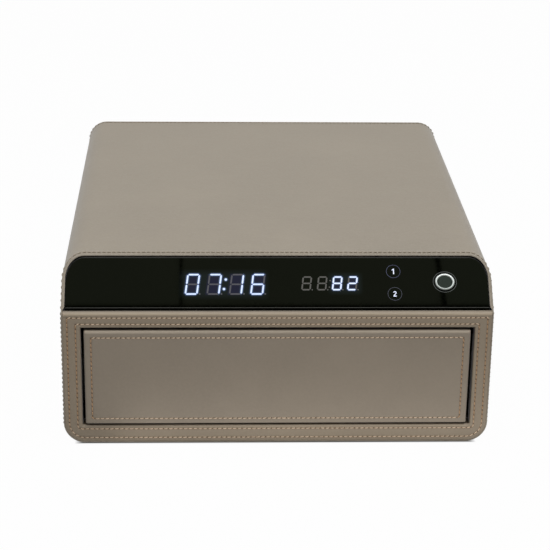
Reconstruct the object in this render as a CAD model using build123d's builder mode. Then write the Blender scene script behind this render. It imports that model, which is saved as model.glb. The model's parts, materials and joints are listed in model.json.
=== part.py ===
from build123d import *
import math
import os

# Leather-covered bedside drawer safe with a bevelled glass touch panel.
# Millimetres. The origin is under the middle of the case, at the level the feet stand on.
# +X is to the viewer's right, +Y runs from the front to the back, and +Z is up.

os.makedirs("parts", exist_ok=True)

# Case
case_width = 350.0
case_depth = 420.0
case_height = 152.0
corner_radius = 17.5
foot_height = 2.0
leather = 1.2
shell_wall = 1.5
bevel_drop = 37.5
bevel_angle = 45.0
touch_gap = 0.3

front_y = -case_depth / 2
back_y = case_depth / 2
base_z = foot_height
top_z = base_z + case_height
mid_z = (base_z + top_z) / 2
ledge_z = top_z - bevel_drop
bevel_run = bevel_drop * math.tan(math.radians(bevel_angle))
bevel_length = math.hypot(bevel_drop, bevel_run)
shell_outer_x = case_width / 2 - leather
shell_inner_x = shell_outer_x - shell_wall

# Front frame and the drawer opening in it
side_frame = 15.5
bottom_frame = 15.2
top_frame = 12.0
frame_depth = 12.0
opening_corner = 2.0
opening_half_width = case_width / 2 - side_frame
opening_bottom_z = base_z + bottom_frame
opening_top_z = ledge_z - top_frame
core_back_y = front_y + leather + frame_depth

# Glass panel, measured in the bevel plane from its lower edge, and down from its face
ledge_width = 3.7
glass_side_gap = 3.0
glass_top_gap = 2.23
glass_low = 4.4
glass_thickness = 3.0
glass_recess = 0.4
glass_corner_low = 1.5
glass_chamfer = 0.6
tape_thickness = 0.5
tray_thickness = 2.5
side_rim = 1.2
top_rim = 0.3
rim_gap = 0.2
glass_half_width = case_width / 2 - glass_side_gap
glass_high = bevel_length - glass_top_gap
glass_back = glass_recess + glass_thickness
tray_face = glass_back + tape_thickness
tray_back = tray_face + tray_thickness

# Screws that hold the tray to the frame core, by x and by distance up the bevel
tray_screw_places = ((-150.0, 7.0), (-20.0, 7.0), (70.0, 7.0), (165.0, 7.0))
tray_screw_reach = 4.0
tray_head = 1.5

# Displays and controls behind the glass, placed by x and by distance up the bevel
clock_place = (-43.0, 26.4)
clock_size = (73.0, 26.0)
thermometer_place = (42.4, 27.0)
thermometer_size = (50.3, 19.0)
display_depth = 8.5
display_board = 1.6
window_gap = 0.4
window_wall = 1.6
window_skirt = 3.5
skirt_low = clock_place[1] - clock_size[1] / 2 - window_gap - window_wall
key_places = ((94.7, 38.0), (95.2, 18.1))
key_pad_radius = 5.5
touch_board_place = (95.0, 28.0)
touch_board_size = (20.0, 40.0)
touch_board_thickness = 1.2
reader_place = (136.5, 28.6)
ring_outer_radius = 8.2
ring_inner_radius = 5.9
ring_proud = 0.6
reader_clearance = 0.3
reader_body_radius = 8.0
reader_length = 15.0
reader_nut_radius = 11.0
reader_nut_height = 3.0

# Back panel
back_panel_recess = 5.0
back_panel_thickness = 1.5
panel_gap = 0.25
tab_size = 16.0
low_tab_rise = 28.0
high_tab_drop = 17.8
vent_count = 7
vent_pitch = 6.0
vent_length = 14.0
vent_width = 2.4
screw_radius = 1.5
screw_head_radius = 2.8
screw_head_height = 2.0
panel_outer_y = back_y - back_panel_recess
panel_inner_y = panel_outer_y - back_panel_thickness

# Bay floor
bay_floor_rise = 3.3
bay_floor_thickness = 1.2
bay_flange = 10.0
bay_floor_z = opening_top_z + bay_floor_rise
bay_z = bay_floor_z + bay_floor_thickness
tab_heights = (base_z + low_tab_rise, bay_floor_z - high_tab_drop)

# Feet and anchor holes
foot_radius = 9.0
foot_inset_x = 33.0
foot_inset_y = 12.5
foot_chamfer = 0.5
foot_x = case_width / 2 - foot_inset_x
foot_y = case_depth / 2 - foot_inset_y
anchor_spacing_x = 200.0
anchor_spacing_y = 240.0
anchor_radius = 4.0
anchor_relief = 2.0

# Drawer
drawer_side_gap = 2.0
drawer_low_gap = 1.4
drawer_top_gap = 2.85
drawer_recess = 0.8
drawer_core_thickness = 10.0
drawer_edge_radius = 1.5
drawer_half_width = opening_half_width - drawer_side_gap
drawer_bottom_z = opening_bottom_z + drawer_low_gap
drawer_top_z = opening_top_z - drawer_top_gap
drawer_face_y = front_y + drawer_recess
drawer_core_y = drawer_face_y + leather
drawer_back_y = drawer_core_y + drawer_core_thickness
tray_wall = 1.2
tray_side_gap = 13.5
tray_floor_rise = 3.9
tray_rim_drop = 7.65
tray_rear_gap = 60.0
tray_half_width = opening_half_width - tray_side_gap
tray_bottom_z = drawer_bottom_z + tray_floor_rise
tray_top_z = drawer_top_z - tray_rim_drop
tray_rear_y = back_y - tray_rear_gap
felt = 1.5
felt_top_drop = 1.0
front_screw_x = 100.0
front_screw_low = 17.5
front_screw_spacing = 40.0
front_screw_reach = 7.0
front_screw_low_z = tray_bottom_z + front_screw_low
front_screw_high_z = front_screw_low_z + front_screw_spacing
front_screw_places = (
    (-front_screw_x, front_screw_low_z),
    (front_screw_x, front_screw_low_z),
    (-front_screw_x, front_screw_high_z),
    (front_screw_x, front_screw_high_z),
)

# Telescopic slides, drawn from the outer rail's back towards the drawer
slide_rise = 32.5
slide_thickness = 13.0
slide_front_gap = 4.0
slide_overrun = 6.0
slide_mid_z = tray_bottom_z + slide_rise
slide_back_x = tray_half_width + slide_thickness
slide_front_y = drawer_back_y + slide_front_gap
slide_back_y = tray_rear_y + slide_overrun
slide_length = slide_back_y - slide_front_y
rail_sheet = 1.2
outer_rail_half = 17.5
ball_radius = 1.5
ball_play = 0.1
race_gap = 2 * ball_radius + 2 * ball_play
middle_rail_half = outer_rail_half - rail_sheet - race_gap
inner_rail_half = middle_rail_half - rail_sheet - race_gap
outer_rail_width = 9.2
middle_rail_start = 2.4
middle_rail_width = 8.0
inner_rail_start = 4.8
cage_sheet = 0.6
cage_gap = 0.3
cage_reach = 6.0
cage_front_gap = 81.0
cage_length = 186.0
cage_front_y = slide_front_y + cage_front_gap
balls_per_row = 8
rail_trim = 4.0
rail_screw_fractions = (0.1, 0.5, 0.9)
rail_screw_places = [slide_front_y + fraction * slide_length for fraction in rail_screw_fractions]
rail_screw_radius = 1.9
rail_screw_head_radius = 3.2
rail_screw_head_height = 1.1
spacer_sheet = 1.5
spacer_half = 22.0

# Lock, with its bolt at x, and the key beside it
bolt_x = 60.0
bolt_half_width = 5.0
bolt_rear_gap = 22.0
bolt_body_depth = 6.0
bolt_drop = 3.8
bolt_rise = 31.0
bolt_foot_length = 10.5
bolt_clearance = 0.3
gear_module = 1.0
pinion_teeth = 12
tooth_backlash = 0.3
pinion_width = 6.0
pinion_rise = 15.0
shaft_radius = 1.5
shaft_clearance = 0.05
rack_teeth_below = 2
rack_teeth_above = 5
pressure_angle = 20.0
tab_width = 5.0
tab_thickness = 3.0
tab_reach = 9.5
key_x = 74.0
key_rise = 21.0
cam_width = 3.0
cam_thickness = 2.5
cam_overreach = 3.0
cam_lift_gap = 0.4
plug_radius = 5.2
plug_clearance = 0.05
cylinder_radius = 8.0
cylinder_flange_radius = 11.0
cylinder_flange = 2.0
cylinder_length = 22.0
cylinder_nut_radius = 12.0
cylinder_nut_height = 4.0
cylinder_chamfer = 0.6
cam_square = 5.0
keyway_width = 1.6
keyway_height = 7.5
keyway_depth = 18.0
housing_base = 2.0
guide_wall = 3.0
guide_height = 5.0
cheek = 1.6
switch_size = (6.0, 12.0, 6.5)
motor_size = (24.0, 10.0, 12.0)
motor_gap = 7.0
shaft_in_motor = 6.0

bolt_back_y = tray_rear_y + bolt_rear_gap
bolt_low_z = bay_floor_z - bolt_drop
bolt_high_z = bay_z + bolt_rise
pinion_z = bay_z + pinion_rise
key_z = bay_z + key_rise
addendum = gear_module
dedendum = 1.25 * gear_module
pitch_radius = gear_module * pinion_teeth / 2
rack_root_y = bolt_back_y - bolt_body_depth
rack_tip_y = rack_root_y - addendum - dedendum
pinion_y = rack_root_y - dedendum - pitch_radius
tab_low_z = key_z + cam_width / 2 + cam_lift_gap
motor_end_x = bolt_x - pinion_width / 2 - motor_gap

# Strike on the drawer
strike_sheet = 1.5
strike_half_width = 16.0
strike_drop = 6.0
strike_leg = 38.0
strike_reach = 30.0
strike_slot_gap = 1.5
strike_z = bolt_low_z - strike_drop

# Ejectors
ejector_x = 110.0
ejector_rise = 3.0
barrel_radius = 6.0
barrel_length = 38.0
barrel_flange_radius = 10.0
barrel_flange = 2.0
barrel_end_wall = 2.0
plunger_radius = 4.0
plunger_clearance = 0.3
plunger_head_radius = 5.5
plunger_head = 4.0
plunger_length = 36.0
spring_wall = 1.0
ejector_z = slide_mid_z + ejector_rise

# Electronics in the bay
board_size = (120.0, 90.0)
board_front_gap = 60.0
board_thickness = 1.6
spacer_height = 6.0
board_spacer_radius = 3.0
board_hole_inset = 5.0
chip_height = 2.5
processor_size = 14.0
driver_size = (10.0, 6.0)
driver_places = ((30.0, 10.0), (-30.0, 5.0))
connector_depth = 5.0
connector_inset = 4.0
lead_connector_x = 35.0
buzzer_radius = 6.0
buzzer_height = 8.5
buzzer_hole_radius = 1.0
buzzer_place = (-42.0, 28.0)
holder_side_gap = 65.0
holder_rear_gap = 170.0
holder_size = (62.0, 66.0)
holder_height = 14.0
holder_wall = 2.0
cell_radius = 7.1
cell_length = 50.0
cell_count = 4
cell_pitch = 14.5
inlet_side_gap = 55.0
inlet_rise = 17.0
inlet_width = 13.0
inlet_height = 11.0
inlet_length = 16.0
inlet_bore_radius = 3.0
inlet_pin_radius = 1.0
lead_radius = 1.5
lead_x = -50.0
lead_straight = 25.0
lead_slope_x = 20.0
lead_slope_end = 55.0
lead_cross_end = 85.0
lead_rise_start = 50.0
lead_rise_end = 25.0
lead_bend = 12.0
ribbon_x = -20.0
ribbon_width = 26.0
ribbon_thickness = 1.0
ribbon_lap = 4.0
ribbon_stand_off = 6.0
ribbon_bend = 2.0
board_center = (0.0, front_y + board_front_gap + board_size[1] / 2)
holder_center = (-case_width / 2 + holder_side_gap, back_y - holder_rear_gap)
inlet_x = -case_width / 2 + inlet_side_gap
inlet_z = bay_z + inlet_rise

bevel_plane = Plane(
    origin=(0, front_y, ledge_z),
    x_dir=(1, 0, 0),
    z_dir=(0, -math.cos(math.radians(bevel_angle)), math.sin(math.radians(bevel_angle))),
)


def across(y):
    """Return the plane across the case at y. Its sketches are in X and Z and grow to the front."""
    return Plane.XZ.offset(-y)


def along_bevel(distance):
    """Return the plane square to the bevel, this far up it, facing up the slope."""
    return Plane(origin=bevel_plane.from_local_coords((0, distance, 0)), z_dir=bevel_plane.y_dir)


def patch(x0, x1, y0, y1, mode=Mode.ADD):
    """Draw a rectangle between two corners in the open sketch."""
    with Locations(((x0 + x1) / 2, (y0 + y1) / 2)):
        Rectangle(abs(x1 - x0), abs(y1 - y0), mode=mode)


def case_outline(inset, mode=Mode.ADD):
    """Draw the case's cross-section, this far in from the leather's outer face."""
    with Locations((0, mid_z)):
        RectangleRounded(case_width - 2 * inset, case_height - 2 * inset, corner_radius - inset, mode=mode)


def bore_for_screws(x, depth, radius):
    """Cut the row of rail screw holes into the open part, from x, this deep along X."""
    with BuildSketch(Plane.YZ.offset(x)) as holes:
        with Locations(*[(place, slide_mid_z) for place in rail_screw_places]):
            Circle(radius)
    extrude(holes.sketch, amount=depth, mode=Mode.SUBTRACT)


def save(builder, name):
    """Label a finished piece and write it to its own file."""
    builder.part.label = name
    export_step(builder.part, f"parts/{name}.step")


# Leather sleeve: the wrap round the case, turned in beside the glass and round the back edge
with BuildPart() as turned_edge:
    with BuildSketch(across(front_y + bevel_run + corner_radius)):
        case_outline(leather)
        rim_radius = corner_radius - leather - side_rim
        rim_half = case_width / 2 - leather - side_rim
        with Locations((0, mid_z)):
            rim_height = case_height - 2 * leather - 2 * top_rim
            RectangleRounded(2 * rim_half, rim_height, rim_radius, mode=Mode.SUBTRACT)
    extrude(amount=bevel_run + corner_radius)
    split(bisect_by=bevel_plane, keep=Keep.BOTTOM)
    split(bisect_by=bevel_plane.offset(-(tray_face - rim_gap)), keep=Keep.TOP)
    split(bisect_by=along_bevel(ledge_width), keep=Keep.TOP)

with BuildPart() as leather_sleeve:
    with BuildSketch(across(back_y)):
        case_outline(0)
        case_outline(leather, mode=Mode.SUBTRACT)
    extrude(amount=case_depth)
    with BuildSketch(across(back_y)):
        case_outline(leather)
        case_outline(leather + shell_wall + leather, mode=Mode.SUBTRACT)
    extrude(amount=leather)
    split(bisect_by=bevel_plane, keep=Keep.BOTTOM)
    add(turned_edge.part)
    with BuildSketch(Plane.XY.offset(base_z)):
        with GridLocations(anchor_spacing_x, anchor_spacing_y, 2, 2):
            Circle(anchor_radius + anchor_relief)
    extrude(amount=leather, mode=Mode.SUBTRACT)
save(leather_sleeve, "leather_sleeve")

# Outer shell: the welded steel tube, with tabs for the back panel and four anchor holes
with BuildPart() as outer_shell:
    with BuildSketch(across(back_y - leather)):
        case_outline(leather)
        case_outline(leather + shell_wall, mode=Mode.SUBTRACT)
    extrude(amount=back_y - leather - core_back_y)
    split(bisect_by=bevel_plane.offset(-tray_back), keep=Keep.BOTTOM)
    with BuildSketch(across(panel_inner_y)):
        for side in (-1, 1):
            for height in tab_heights:
                patch(side * shell_inner_x, side * (shell_inner_x - tab_size), height, height + tab_size)
                with Locations((side * (shell_inner_x - tab_size / 2), height + tab_size / 2)):
                    Circle(screw_radius + panel_gap, mode=Mode.SUBTRACT)
    extrude(amount=shell_wall)
    with BuildSketch(Plane.XY.offset(base_z)):
        with GridLocations(anchor_spacing_x, anchor_spacing_y, 2, 2):
            Circle(anchor_radius)
    extrude(amount=leather + shell_wall, mode=Mode.SUBTRACT)
save(outer_shell, "outer_shell")

# Front frame core: the board behind the front leather, stepped to take the panel tray
with BuildPart() as front_frame_core:
    with BuildSketch(across(core_back_y)):
        case_outline(leather)
        patch(
            -opening_half_width - leather,
            opening_half_width + leather,
            opening_bottom_z - leather,
            opening_top_z + leather,
            mode=Mode.SUBTRACT,
        )
    extrude(amount=frame_depth)
    split(bisect_by=bevel_plane.offset(-leather), keep=Keep.BOTTOM)
    with BuildSketch(bevel_plane):
        patch(-case_width / 2, case_width / 2, ledge_width, bevel_length)
    extrude(amount=-tray_back, mode=Mode.SUBTRACT)
    with BuildSketch(bevel_plane):
        patch(-case_width / 2, case_width / 2, skirt_low - window_gap, bevel_length)
    extrude(amount=-(tray_back + window_skirt + window_gap), mode=Mode.SUBTRACT)
    with BuildSketch(bevel_plane.offset(-tray_back)):
        with Locations(*tray_screw_places):
            Circle(screw_radius + plug_clearance)
    extrude(amount=-tray_screw_reach, mode=Mode.SUBTRACT)
save(front_frame_core, "front_frame_core")

# Leather front frame: its skin, folded into the drawer opening and over the ledge under the glass
with BuildPart() as leather_front_frame:
    with BuildSketch(across(front_y + leather)):
        case_outline(leather)
    extrude(amount=leather)
    split(bisect_by=bevel_plane, keep=Keep.BOTTOM)
    with BuildSketch(bevel_plane):
        patch(-shell_outer_x, shell_outer_x, 0, ledge_width)
    extrude(amount=-leather)
    with BuildSketch(across(core_back_y)):
        patch(
            -opening_half_width - leather,
            opening_half_width + leather,
            opening_bottom_z - leather,
            opening_top_z + leather,
        )
    extrude(amount=frame_depth)
    with BuildSketch(across(core_back_y)):
        opening_center_z = (opening_bottom_z + opening_top_z) / 2
        with Locations((0, opening_center_z)):
            RectangleRounded(2 * opening_half_width, opening_top_z - opening_bottom_z, opening_corner)
    extrude(amount=frame_depth + leather, mode=Mode.SUBTRACT)
save(leather_front_frame, "leather_front_frame")

# Glass panel: rounded like the case where it meets the top corners, bored for the fingerprint reader
glass_corner_x = glass_half_width - (case_width / 2 - corner_radius)
glass_corner_rise = glass_high - (bevel_length - corner_radius / math.cos(math.radians(bevel_angle)))
with BuildPart() as glass_panel:
    with BuildSketch(bevel_plane.offset(-glass_recess)):
        with BuildLine():
            corner_x = glass_half_width - glass_corner_x
            corner_y = glass_high - glass_corner_rise
            low_x = glass_half_width - glass_corner_low
            low_y = glass_low + glass_corner_low
            Line((-low_x, glass_low), (low_x, glass_low))
            CenterArc((low_x, low_y), glass_corner_low, -90, 90)
            Line((glass_half_width, low_y), (glass_half_width, corner_y))
            EllipticalCenterArc((corner_x, corner_y), glass_corner_x, glass_corner_rise, 0, arc_size=90)
            Line((corner_x, glass_high), (-corner_x, glass_high))
            EllipticalCenterArc((-corner_x, corner_y), glass_corner_x, glass_corner_rise, 90, arc_size=90)
            Line((-glass_half_width, corner_y), (-glass_half_width, low_y))
            CenterArc((-low_x, low_y), glass_corner_low, 180, 90)
        make_face()
        with Locations(reader_place):
            Circle(ring_outer_radius + reader_clearance, mode=Mode.SUBTRACT)
    extrude(amount=-glass_thickness)
    face_edges = glass_panel.faces().sort_by(Axis((0, 0, 0), bevel_plane.z_dir))[-1].outer_wire().edges()
    chamfer(face_edges, length=glass_chamfer)
save(glass_panel, "glass_panel")

# Panel tray: the moulded plate the glass is taped to, with framed windows for the modules
with BuildPart() as panel_tray:
    with BuildSketch(across(front_y + bevel_run + corner_radius)):
        case_outline(leather + rim_gap)
    extrude(amount=bevel_run + corner_radius)
    split(bisect_by=bevel_plane.offset(-tray_face), keep=Keep.BOTTOM)
    split(bisect_by=bevel_plane.offset(-tray_back), keep=Keep.TOP)
    split(bisect_by=along_bevel(ledge_width + rim_gap), keep=Keep.TOP)
    with BuildSketch(bevel_plane.offset(-tray_back)):
        for place, size in ((clock_place, clock_size), (thermometer_place, thermometer_size)):
            with Locations(place):
                frame_wall = window_gap + window_wall
                Rectangle(size[0] + 2 * frame_wall, size[1] + 2 * frame_wall)
    extrude(amount=-window_skirt)
    with BuildSketch(bevel_plane.offset(-tray_face)):
        windows = (
            (clock_place, clock_size),
            (thermometer_place, thermometer_size),
            (touch_board_place, touch_board_size),
        )
        for place, size in windows:
            with Locations(place):
                Rectangle(size[0] + 2 * window_gap, size[1] + 2 * window_gap)
        with Locations(reader_place):
            Circle(reader_body_radius + reader_clearance)
    extrude(amount=-(tray_thickness + window_skirt), mode=Mode.SUBTRACT)
    with BuildSketch(bevel_plane.offset(-tray_face)):
        with Locations(*tray_screw_places):
            Circle(screw_head_radius + plug_clearance)
    extrude(amount=-tray_head, mode=Mode.SUBTRACT)
    with BuildSketch(bevel_plane.offset(-tray_face)):
        with Locations(*tray_screw_places):
            Circle(screw_radius + plug_clearance)
    extrude(amount=-tray_thickness, mode=Mode.SUBTRACT)
save(panel_tray, "panel_tray")


def display_module(place, size):
    """Make a four-digit display: its lens block and the wider circuit board behind it."""
    with BuildPart() as module:
        with BuildSketch(bevel_plane.offset(-(glass_back + rim_gap))):
            with Locations(place):
                Rectangle(*size)
        extrude(amount=-display_depth)
        with BuildSketch(bevel_plane.offset(-(glass_back + rim_gap + display_depth))):
            with Locations(place):
                Rectangle(size[0] + 2 * window_wall, size[1])
        extrude(amount=-display_board)
    return module


save(display_module(clock_place, clock_size), "clock_display")
save(display_module(thermometer_place, thermometer_size), "thermometer_display")

# Touch board: the two capacitive pads that sense a finger through the glass
with BuildPart() as touch_board:
    with BuildSketch(bevel_plane.offset(-tray_face)):
        with Locations(touch_board_place):
            Rectangle(*touch_board_size)
    extrude(amount=-touch_board_thickness)
    with BuildSketch(bevel_plane.offset(-tray_face)):
        with Locations(*key_places):
            Circle(key_pad_radius)
    extrude(amount=tape_thickness)
save(touch_board, "touch_board")

# Fingerprint reader: chrome ring, sensor with its threaded barrel, and the nut behind the tray
with BuildPart() as fingerprint_ring:
    with BuildSketch(bevel_plane.offset(ring_proud)):
        with Locations(reader_place):
            Circle(ring_outer_radius)
            Circle(ring_inner_radius, mode=Mode.SUBTRACT)
    extrude(amount=-(ring_proud + glass_back))
save(fingerprint_ring, "fingerprint_ring")

with BuildPart() as fingerprint_sensor:
    with BuildSketch(bevel_plane):
        with Locations(reader_place):
            Circle(ring_inner_radius - rim_gap)
    extrude(amount=-glass_back)
    with BuildSketch(bevel_plane.offset(-glass_back)):
        with Locations(reader_place):
            Circle(reader_body_radius)
    extrude(amount=-reader_length)
save(fingerprint_sensor, "fingerprint_sensor")

with BuildPart() as fingerprint_nut:
    with BuildSketch(bevel_plane.offset(-tray_back)):
        with Locations(reader_place):
            RegularPolygon(reader_nut_radius, 6)
            Circle(reader_body_radius, mode=Mode.SUBTRACT)
    extrude(amount=-reader_nut_height)
save(fingerprint_nut, "fingerprint_nut")

# Back panel: a plate screwed to the shell's tabs, pierced for the key, the inlet and the buzzer
tab_centers = []
for tab_side in (-1, 1):
    for tab_height in tab_heights:
        tab_centers.append((tab_side * (shell_inner_x - tab_size / 2), tab_height + tab_size / 2))

with BuildPart() as back_panel:
    with BuildSketch(across(panel_outer_y)):
        case_outline(leather + shell_wall + panel_gap)
        with Locations((key_x, key_z)):
            Circle(cylinder_radius + plug_clearance, mode=Mode.SUBTRACT)
        with Locations((inlet_x, inlet_z)):
            Rectangle(inlet_width, inlet_height, mode=Mode.SUBTRACT)
        with Locations(*tab_centers):
            Circle(screw_radius + panel_gap, mode=Mode.SUBTRACT)
        with Locations((0, key_z)):
            with GridLocations(vent_pitch, 1, vent_count, 1):
                SlotOverall(vent_length, vent_width, rotation=90, mode=Mode.SUBTRACT)
    extrude(amount=back_panel_thickness)
save(back_panel, "back_panel")

# Bay floor: the steel plate over the drawer, flanged to the shell's sides, with the bolt's slot
with BuildPart() as bay_floor:
    with BuildSketch(across(panel_inner_y)):
        patch(-shell_inner_x, shell_inner_x, bay_floor_z, bay_z)
        for side in (-1, 1):
            flange_x = side * (shell_inner_x - bay_floor_thickness)
            patch(side * shell_inner_x, flange_x, bay_z, bay_z + bay_flange)
    extrude(amount=panel_inner_y - core_back_y)
    with BuildSketch(Plane.XY.offset(bay_floor_z)):
        patch(
            bolt_x - bolt_half_width - bolt_clearance,
            bolt_x + bolt_half_width + bolt_clearance,
            rack_tip_y - bolt_clearance,
            bolt_back_y + bolt_clearance,
        )
    extrude(amount=bay_floor_thickness, mode=Mode.SUBTRACT)
save(bay_floor, "bay_floor")

# Rubber feet: pressed through the leather onto the shell
with BuildPart() as rubber_feet:
    with BuildSketch(Plane.XY):
        with GridLocations(2 * foot_x, 2 * foot_y, 2, 2):
            Circle(foot_radius)
    extrude(amount=foot_height)
    chamfer(rubber_feet.edges().group_by(Axis.Z)[0], length=foot_chamfer)
save(rubber_feet, "rubber_feet")

# Case screws: back panel to shell tabs, and panel tray to frame core
with BuildPart() as case_screws:
    with BuildSketch(across(panel_outer_y + screw_head_height)):
        with Locations(*tab_centers):
            Circle(screw_head_radius)
    extrude(amount=screw_head_height)
    with BuildSketch(across(panel_outer_y)):
        with Locations(*tab_centers):
            Circle(screw_radius)
    extrude(amount=back_panel_thickness + shell_wall + screw_head_height)
    with BuildSketch(bevel_plane.offset(-tray_face)):
        with Locations(*tray_screw_places):
            Circle(screw_head_radius)
    extrude(amount=-tray_head)
    with BuildSketch(bevel_plane.offset(-tray_face)):
        with Locations(*tray_screw_places):
            Circle(screw_radius)
    extrude(amount=-(tray_thickness + tray_screw_reach))
save(case_screws, "case_screws")


def slide_spacer(side):
    """Make the steel channel that carries an outer rail in from the shell's wall."""
    back = side * shell_inner_x
    face = side * slide_back_x
    with BuildPart() as spacer:
        with BuildSketch(across(slide_back_y)):
            patch(face, face + side * spacer_sheet, slide_mid_z - spacer_half, slide_mid_z + spacer_half)
            for end in (-1, 1):
                edge = slide_mid_z + end * spacer_half
                patch(face, back, edge, edge - end * spacer_sheet)
        extrude(amount=slide_length)
        bore_for_screws(face, side * spacer_sheet, rail_screw_radius + plug_clearance)
    return spacer


def channel(side, start, end, half, web_at_end, y_back, length):
    """Make a C-shaped rail between two distances from the outer rail's back face."""
    x_start = side * (slide_back_x - start)
    x_end = side * (slide_back_x - end)
    web_edge = x_end if web_at_end else x_start
    web_inner = web_edge + side * rail_sheet * (1 if web_at_end else -1)
    with BuildPart() as rail:
        with BuildSketch(across(y_back)):
            patch(web_edge, web_inner, slide_mid_z - half, slide_mid_z + half)
            for end_side in (-1, 1):
                edge = slide_mid_z + end_side * half
                patch(x_start, x_end, edge, edge - end_side * rail_sheet)
        extrude(amount=length)
    return rail


def ball_cage(side, start, race_half):
    """Make the bent strip that spaces the balls, with its balls lying in the two rows of holes."""
    ear = race_half - race_gap / 2
    x_web = side * (slide_back_x - start)
    x_tip = side * (slide_back_x - start - cage_reach)
    x_ball = side * (slide_back_x - start - cage_reach / 2)
    ball_pitch = cage_length / balls_per_row
    with BuildPart() as cage:
        with BuildSketch(across(cage_front_y + cage_length)):
            patch(x_web, x_web - side * cage_sheet, slide_mid_z - ear, slide_mid_z + ear)
            for end in (-1, 1):
                edge = slide_mid_z + end * ear
                patch(x_web, x_tip, edge - cage_sheet / 2, edge + cage_sheet / 2)
        extrude(amount=cage_length)
        row_middle_y = cage_front_y + cage_length / 2
        with BuildSketch(Plane.XY.offset(slide_mid_z - outer_rail_half)):
            with Locations((x_ball, row_middle_y)):
                with GridLocations(1, ball_pitch, 1, balls_per_row):
                    Circle(ball_radius + ball_play)
        extrude(amount=2 * outer_rail_half, mode=Mode.SUBTRACT)
        with Locations((x_ball, row_middle_y, slide_mid_z + ear), (x_ball, row_middle_y, slide_mid_z - ear)):
            with GridLocations(1, ball_pitch, 1, balls_per_row):
                Sphere(ball_radius)
    return cage


# Telescopic slides, left and right
outer_race = outer_rail_half - rail_sheet
inner_race = middle_rail_half - rail_sheet
for side, word in ((-1, "left"), (1, "right")):
    save(slide_spacer(side), f"slide_spacer_{word}")
    outer_rail = channel(side, 0, outer_rail_width, outer_rail_half, False, slide_back_y, slide_length)
    with BuildPart() as bored_rail:
        add(outer_rail.part)
        bore_for_screws(side * slide_back_x, -side * rail_sheet, rail_screw_head_radius + plug_clearance)
    save(bored_rail, f"outer_rail_{word}")
    save(ball_cage(side, rail_sheet + cage_gap, outer_race), f"outer_ball_cage_{word}")
    middle_end = middle_rail_start + middle_rail_width
    middle_rail = channel(
        side,
        middle_rail_start,
        middle_end,
        middle_rail_half,
        False,
        slide_back_y - rail_trim,
        slide_length - 2 * rail_trim,
    )
    save(middle_rail, f"middle_rail_{word}")
    save(ball_cage(side, middle_rail_start + rail_sheet + cage_gap, inner_race), f"inner_ball_cage_{word}")
    inner_rail = channel(
        side,
        inner_rail_start,
        slide_thickness,
        inner_rail_half,
        True,
        tray_rear_y,
        tray_rear_y - drawer_back_y,
    )
    with BuildPart() as bored_inner_rail:
        add(inner_rail.part)
        bore_for_screws(side * tray_half_width, side * rail_sheet, rail_screw_radius + plug_clearance)
    save(bored_inner_rail, f"inner_rail_{word}")

# Rail screws: flat heads that hold the outer rails to their spacers
with BuildPart() as rail_screws:
    for side in (-1, 1):
        with BuildSketch(Plane.YZ.offset(side * slide_back_x)):
            with Locations(*[(place, slide_mid_z) for place in rail_screw_places]):
                Circle(rail_screw_head_radius)
        extrude(amount=-side * rail_screw_head_height)
        with BuildSketch(Plane.YZ.offset(side * slide_back_x)):
            with Locations(*[(place, slide_mid_z) for place in rail_screw_places]):
                Circle(rail_screw_radius)
        extrude(amount=side * 2 * spacer_sheet)
save(rail_screws, "rail_screws")

# Drawer front core and its leather, folded round all four edges
with BuildPart() as drawer_front_core:
    with BuildSketch(across(drawer_back_y)):
        patch(
            -drawer_half_width + leather,
            drawer_half_width - leather,
            drawer_bottom_z + leather,
            drawer_top_z - leather,
        )
    extrude(amount=drawer_core_thickness)
    with BuildSketch(across(drawer_back_y)):
        with Locations(*front_screw_places):
            Circle(screw_radius + plug_clearance)
    extrude(amount=front_screw_reach, mode=Mode.SUBTRACT)
save(drawer_front_core, "drawer_front_core")

with BuildPart() as leather_drawer_face:
    with BuildSketch(across(drawer_back_y)):
        patch(-drawer_half_width, drawer_half_width, drawer_bottom_z, drawer_top_z)
    extrude(amount=drawer_core_thickness + leather)
    fillet(leather_drawer_face.edges().group_by(Axis.Y)[0], radius=drawer_edge_radius)
    with BuildSketch(across(drawer_back_y)):
        patch(
            -drawer_half_width + leather,
            drawer_half_width - leather,
            drawer_bottom_z + leather,
            drawer_top_z - leather,
        )
    extrude(amount=drawer_core_thickness, mode=Mode.SUBTRACT)
save(leather_drawer_face, "leather_drawer_face")

# Drawer tray: folded steel, open at the top
with BuildPart() as drawer_tray:
    with BuildSketch(Plane.XY.offset(tray_bottom_z)):
        patch(-tray_half_width, tray_half_width, drawer_back_y, tray_rear_y)
    extrude(amount=tray_top_z - tray_bottom_z)
    with BuildSketch(Plane.XY.offset(tray_bottom_z + tray_wall)):
        patch(
            -tray_half_width + tray_wall,
            tray_half_width - tray_wall,
            drawer_back_y + tray_wall,
            tray_rear_y - tray_wall,
        )
    extrude(amount=tray_top_z, mode=Mode.SUBTRACT)
    with BuildSketch(across(drawer_back_y + tray_wall)):
        with Locations(*front_screw_places):
            Circle(screw_radius + plug_clearance)
    extrude(amount=tray_wall, mode=Mode.SUBTRACT)
    for side in (-1, 1):
        bore_for_screws(side * tray_half_width, -side * tray_wall, rail_screw_radius + plug_clearance)
save(drawer_tray, "drawer_tray")

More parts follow.
